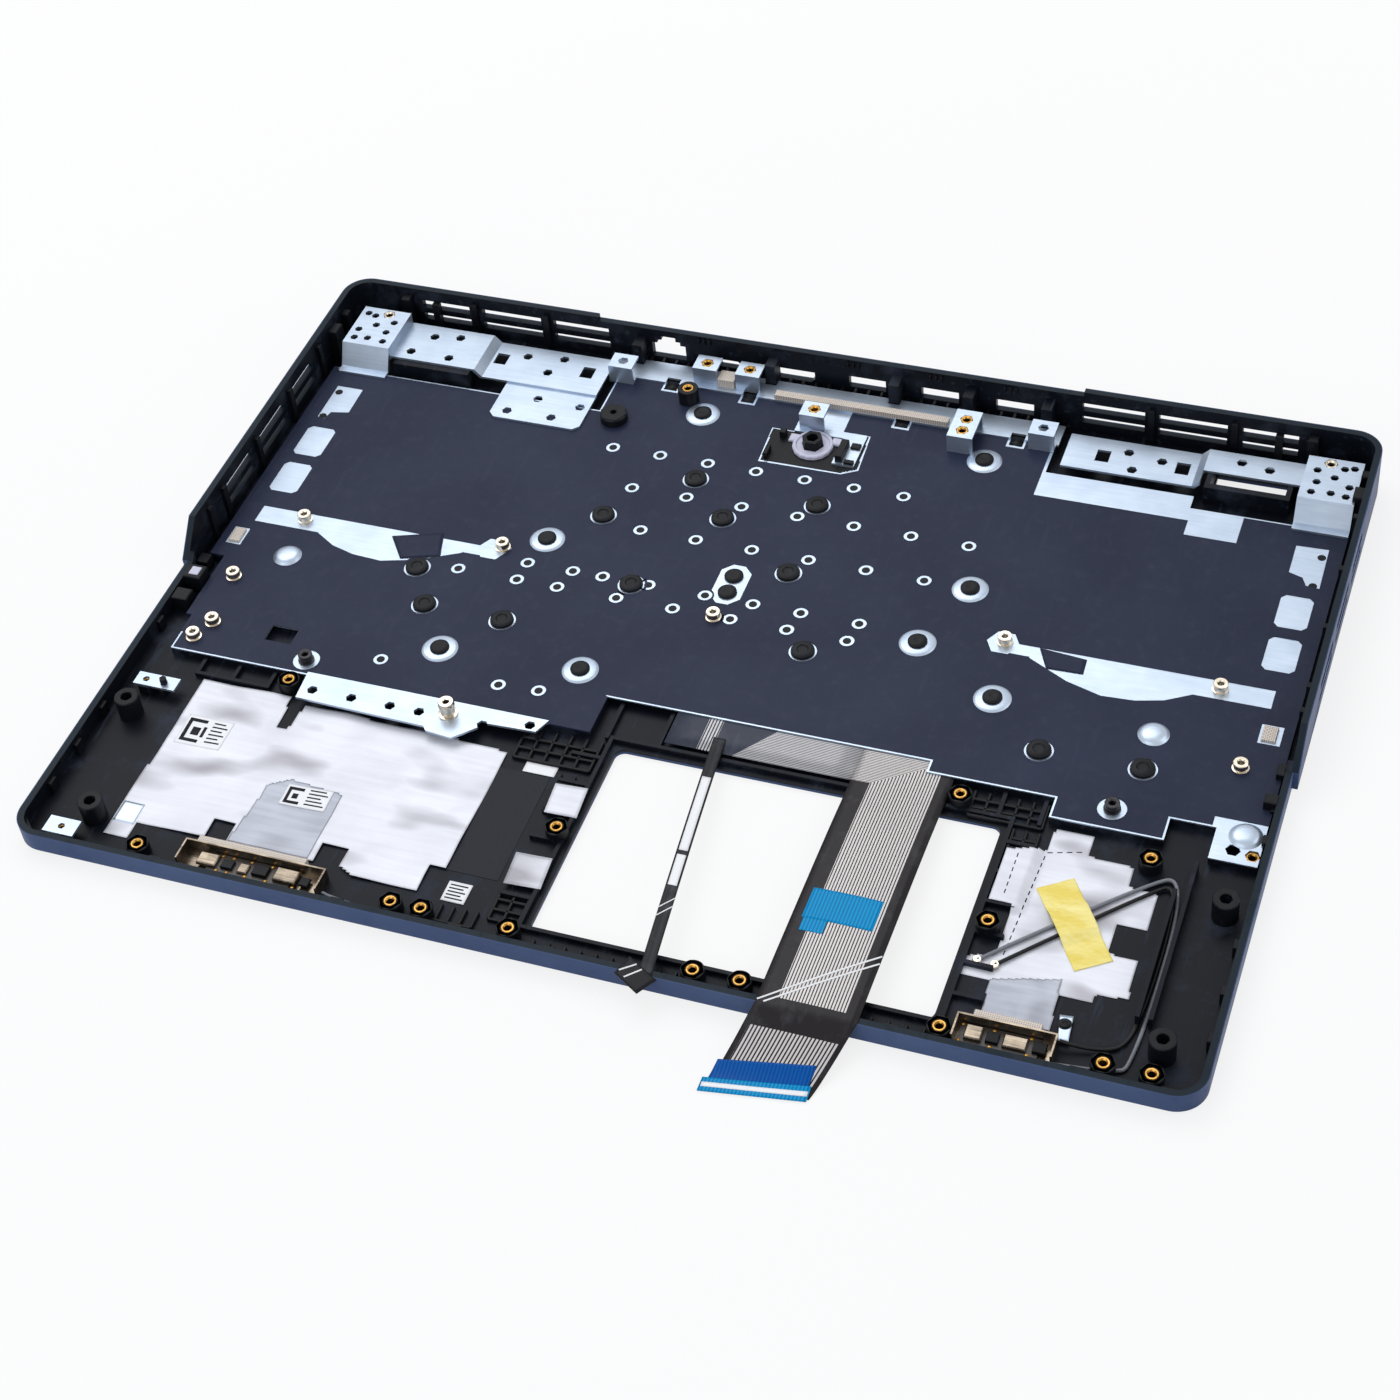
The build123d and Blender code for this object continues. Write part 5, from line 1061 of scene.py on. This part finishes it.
def paper_labels():
    """Labels on the foil, on the left antenna's tail and on the deck, with plain bars on them."""
    paper = [rect(-146.6, -131.4, -77.6, -66.2)]
    labels = drape("palm_labels", paper, raised(left_face, 0.12), PAPER, steps=(22, 18))
    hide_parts("labels")
    paper = [rect(-104.4, -89.6, -92.0, -84.4)]
    drape("tail_label", paper, raised(left_face, 0.3), PAPER, steps=(22, 12))
    paper = [rect(-43.6, -36.4, -112.8, -105.6), rect(-39.4, -29.4, -61.2, -57.0)]
    drape("deck_labels", paper, level(2.05), PAPER)
    bars = [rect(-145.6, -139.6, -76.4, -75.2), rect(-145.6, -144.4, -75.2, -68.6),
            rect(-143.2, -140.6, -73.6, -70.6), rect(-145.6, -139.6, -68.6, -67.4),
            rect(-139.8, -138.8, -74.0, -70.0)]
    bars += rows_of_bars(-137.4, -132.4, 1.2, 2, -75.6, -68.0, 1.5, 0.5)
    drape("label_bars", bars, raised(left_face, 0.18), INK, steps=(5, 5), thickness=0.04)
    bars = [rect(-103.6, -98.6, -91.2, -90.2), rect(-103.6, -102.6, -90.2, -86.2),
            rect(-103.6, -98.6, -86.2, -85.2), rect(-101.6, -99.8, -89.2, -87.4)]
    bars += rows_of_bars(-96.8, -90.6, 0.9, 3, -90.8, -85.4, 1.3, 0.45)
    drape("tail_label_bars", bars, raised(left_face, 0.36), INK, steps=(5, 5), thickness=0.04)
    bars = rows_of_bars(-42.8, -37.4, 1.0, 2, -111.8, -106.2, 1.2, 0.45)
    drape("deck_label_bars", bars, level(2.1), INK, steps=(3, 2), thickness=0.04)


LEAD_PLUG = [(0.0, -0.5), (1.2, -0.5), (1.3, -0.3), (1.3, 0.35), (1.1, 0.6), (0.7, 0.6), (0.6, 0.45),
             (0.0, 0.45)]


def antenna_cables():
    """Thin coaxial cables: a round section carried along a smooth curve by their routed points."""
    over, lane_z = 2.65, 2.45
    lane = right(23.5) + 0.6
    routes = {
        "right_antenna_lead": ("right_antenna_cable", CABLE_BLACK, "black_cable", [
            (135.2, -115.0, lane_z + 2.0), (147.0, -115.0, lane_z), (lane, -107.0, lane_z),
            (lane, -53.0, lane_z + 0.4), (145.0, -59.4, over), (112.0, -94.0, over)]),
        "left_antenna_lead": ("left_antenna_cable", CABLE_GREY, "grey_cable", [
            (-76.6, front(6.0), lane_z + 1.0), (-70.0, front(3.1), lane_z),
            (lane - 2.8, front(3.1), lane_z), (lane + 1.2, -112.0, lane_z),
            (lane + 1.2, -50.0, lane_z + 0.4), (143.6, -56.4, over), (107.0, -93.6, over)]),
    }
    for name, (node_name, material, slot, route) in routes.items():
        curve = bpy.data.curves.new(name, "CURVE")
        curve.dimensions = "3D"
        curve.bevel_depth = 0.55 * MM
        curve.bevel_resolution = 3
        curve.resolution_u = 10
        spline = curve.splines.new("NURBS")
        spline.points.add(len(route) - 1)
        for point, place in zip(spline.points, route):
            point.co = (place[0] * MM, place[1] * MM, place[2] * MM, 1.0)
        spline.order_u = 3
        spline.use_endpoint_u = True
        lead = add_object(name, curve)
        curve.materials.append(material)
        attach(lead, "case")
        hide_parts(node_name)
        plug = turned(name + "_plug", LEAD_PLUG, [route[-1]], NICKEL, sides=16)
        runs = np.diff(np.array(route), axis=0)
        tuple(c * MM for c in route[0])


def yellow_tape():
    """Crepe tape over the two leads: a strip whose middle is raised, with fine ripples across it."""
    along, across = 90, 24
    half_long, half_wide = 15.2, 5.5
    s = np.linspace(-half_long, half_long, along)[:, None]
    w = np.linspace(-half_wide, half_wide, across)[None]
    lift = np.interp(s, [-half_long, -6.6, -3.6, 4.6, 7.6, half_long], [0.0, 0.0, 1.3, 1.3, 0.0, 0.0])
    z = 2.28 + lift + 0.05 * np.sin(s * 4.0) * np.cos(w * 0.7)
    turn = math.radians(34.0)
    x = TAPE_X + w * math.cos(turn) - s * math.sin(turn)
    y = TAPE_Y + w * math.sin(turn) + s * math.cos(turn)
    points = np.stack([x, y, z], -1).reshape(-1, 3)
    piece = make_sheet("crepe_strip", points, quads_of(along, across), YELLOW, 0.12)
    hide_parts("yellow_tape")


film_hole_rims()
film_lip()
plate_domes()
wall_hooks()
side_latches()
power_well()
deck_lattice()
antenna_parts()
fan_flaps()
stake_heads()
screw_hardware()
wide_cable()
narrow_cable()
foil_shields()
paper_labels()
antenna_cables()
yellow_tape()

# Studio

def shows_white(tree):
    """One for rays from the camera, mirrors and glass, to which the surroundings are plain white."""
    path = put(tree, "ShaderNodeLightPath").outputs
    seen = most(tree, path["Is Camera Ray"], path["Is Glossy Ray"])
    return most(tree, seen, path["Is Transmission Ray"])


def studio_floor():
    """Wide pale floor that shows white to the camera and in reflections and keeps a soft shadow."""
    reach, z = 4000.0, -0.1
    corners = np.array(at(rect(-reach, reach, -reach, reach), z))
    mesh = bpy.data.meshes.new("studio_floor")
    mesh.from_pydata((corners * MM).tolist(), [], [(0, 1, 2, 3)])
    floor = add_object("studio_floor", mesh)
    material, tree, shader = new_material("studio floor", roughness=0.9, specular=0.0)
    shader["Base Color"].default_value = (0.86, 0.86, 0.88, 1.0)
    seen = shows_white(tree)
    glow = put(tree, "ShaderNodeEmission", {"Color": (1.0, 1.0, 1.0, 1.0), "Strength": 1.0})
    far = put(tree, "ShaderNodeVectorMath", {0: object_place(tree)}, operation="LENGTH").outputs["Value"]
    share = fade(tree, far, 0.25, 0.8, 0.8, 1.0)
    surface = next(n for n in tree.nodes if n.type == "BSDF_PRINCIPLED")
    mix = put(tree, "ShaderNodeMixShader", {0: times(tree, seen, share), 1: surface.outputs[0],
                                            2: glow.outputs[0]})
    output = next(n for n in tree.nodes if n.type == "OUTPUT_MATERIAL")
    tree.links.new(mix.outputs[0], output.inputs[0])
    mesh.materials.append(material)


def studio_world():
    """Soft light from all round."""
    world = bpy.data.worlds.new("studio")
    bpy.context.scene.world = world
    world.use_nodes = True
    tree = world.node_tree
    tree.nodes.clear()
    seen = shows_white(tree)
    light = put(tree, "ShaderNodeBackground", {"Color": (0.93, 0.96, 1.0, 1.0), "Strength": 0.5})
    white = put(tree, "ShaderNodeBackground", {"Color": (1.0, 1.0, 1.0, 1.0), "Strength": 1.0})
    mix = put(tree, "ShaderNodeMixShader", {0: seen, 1: light.outputs[0], 2: white.outputs[0]})
    put(tree, "ShaderNodeOutputWorld", {0: mix.outputs[0]})


def softbox(name, place, aim, size, power, colour=(1.0, 1.0, 1.0)):
    """Rectangular lamp turned to face a point."""
    lamp = bpy.data.lights.new(name, "AREA")
    lamp.shape = "RECTANGLE"
    lamp.size, lamp.size_y = size
    lamp.energy = power
    lamp.color = colour
    box = add_object(name, lamp)
    way = np.array(place, float) - np.array(aim, float)
    way /= np.linalg.norm(way)
    side = np.cross((0.0, 0.0, 1.0), way)
    side /= np.linalg.norm(side)
    up = np.cross(way, side)
    turn = Matrix(np.stack([side, up, way], 1).tolist()).to_4x4()
    box.matrix_world = Matrix.Translation(place) @ turn


def camera():
    """The photograph's view, as solved for the case's size."""
    view = bpy.data.cameras.new("camera")
    view.lens = 70.14
    view.sensor_width = 36.0
    view.clip_start = 0.05
    eye = add_object("camera", view)
    eye.location = (0.237644, -0.532988, 0.586161)
    eye.rotation_euler = (0.763794, 0.087434, 0.340820)
    bpy.context.scene.camera = eye


studio_floor()
studio_world()
softbox("key_box", (-0.5, 0.55, 1.15), (0.0, 0.0, 0.0), (1.3, 0.9), 9.0)
softbox("front_box", (-0.35, -1.1, 0.75), (0.0, 0.0, 0.0), (1.2, 0.7), 5.0, (0.95, 0.97, 1.0))
softbox("side_box", (1.15, 0.25, 0.8), (0.0, 0.0, 0.0), (0.8, 0.8), 3.0)
camera()
bpy.context.scene.view_settings.view_transform = "Standard"
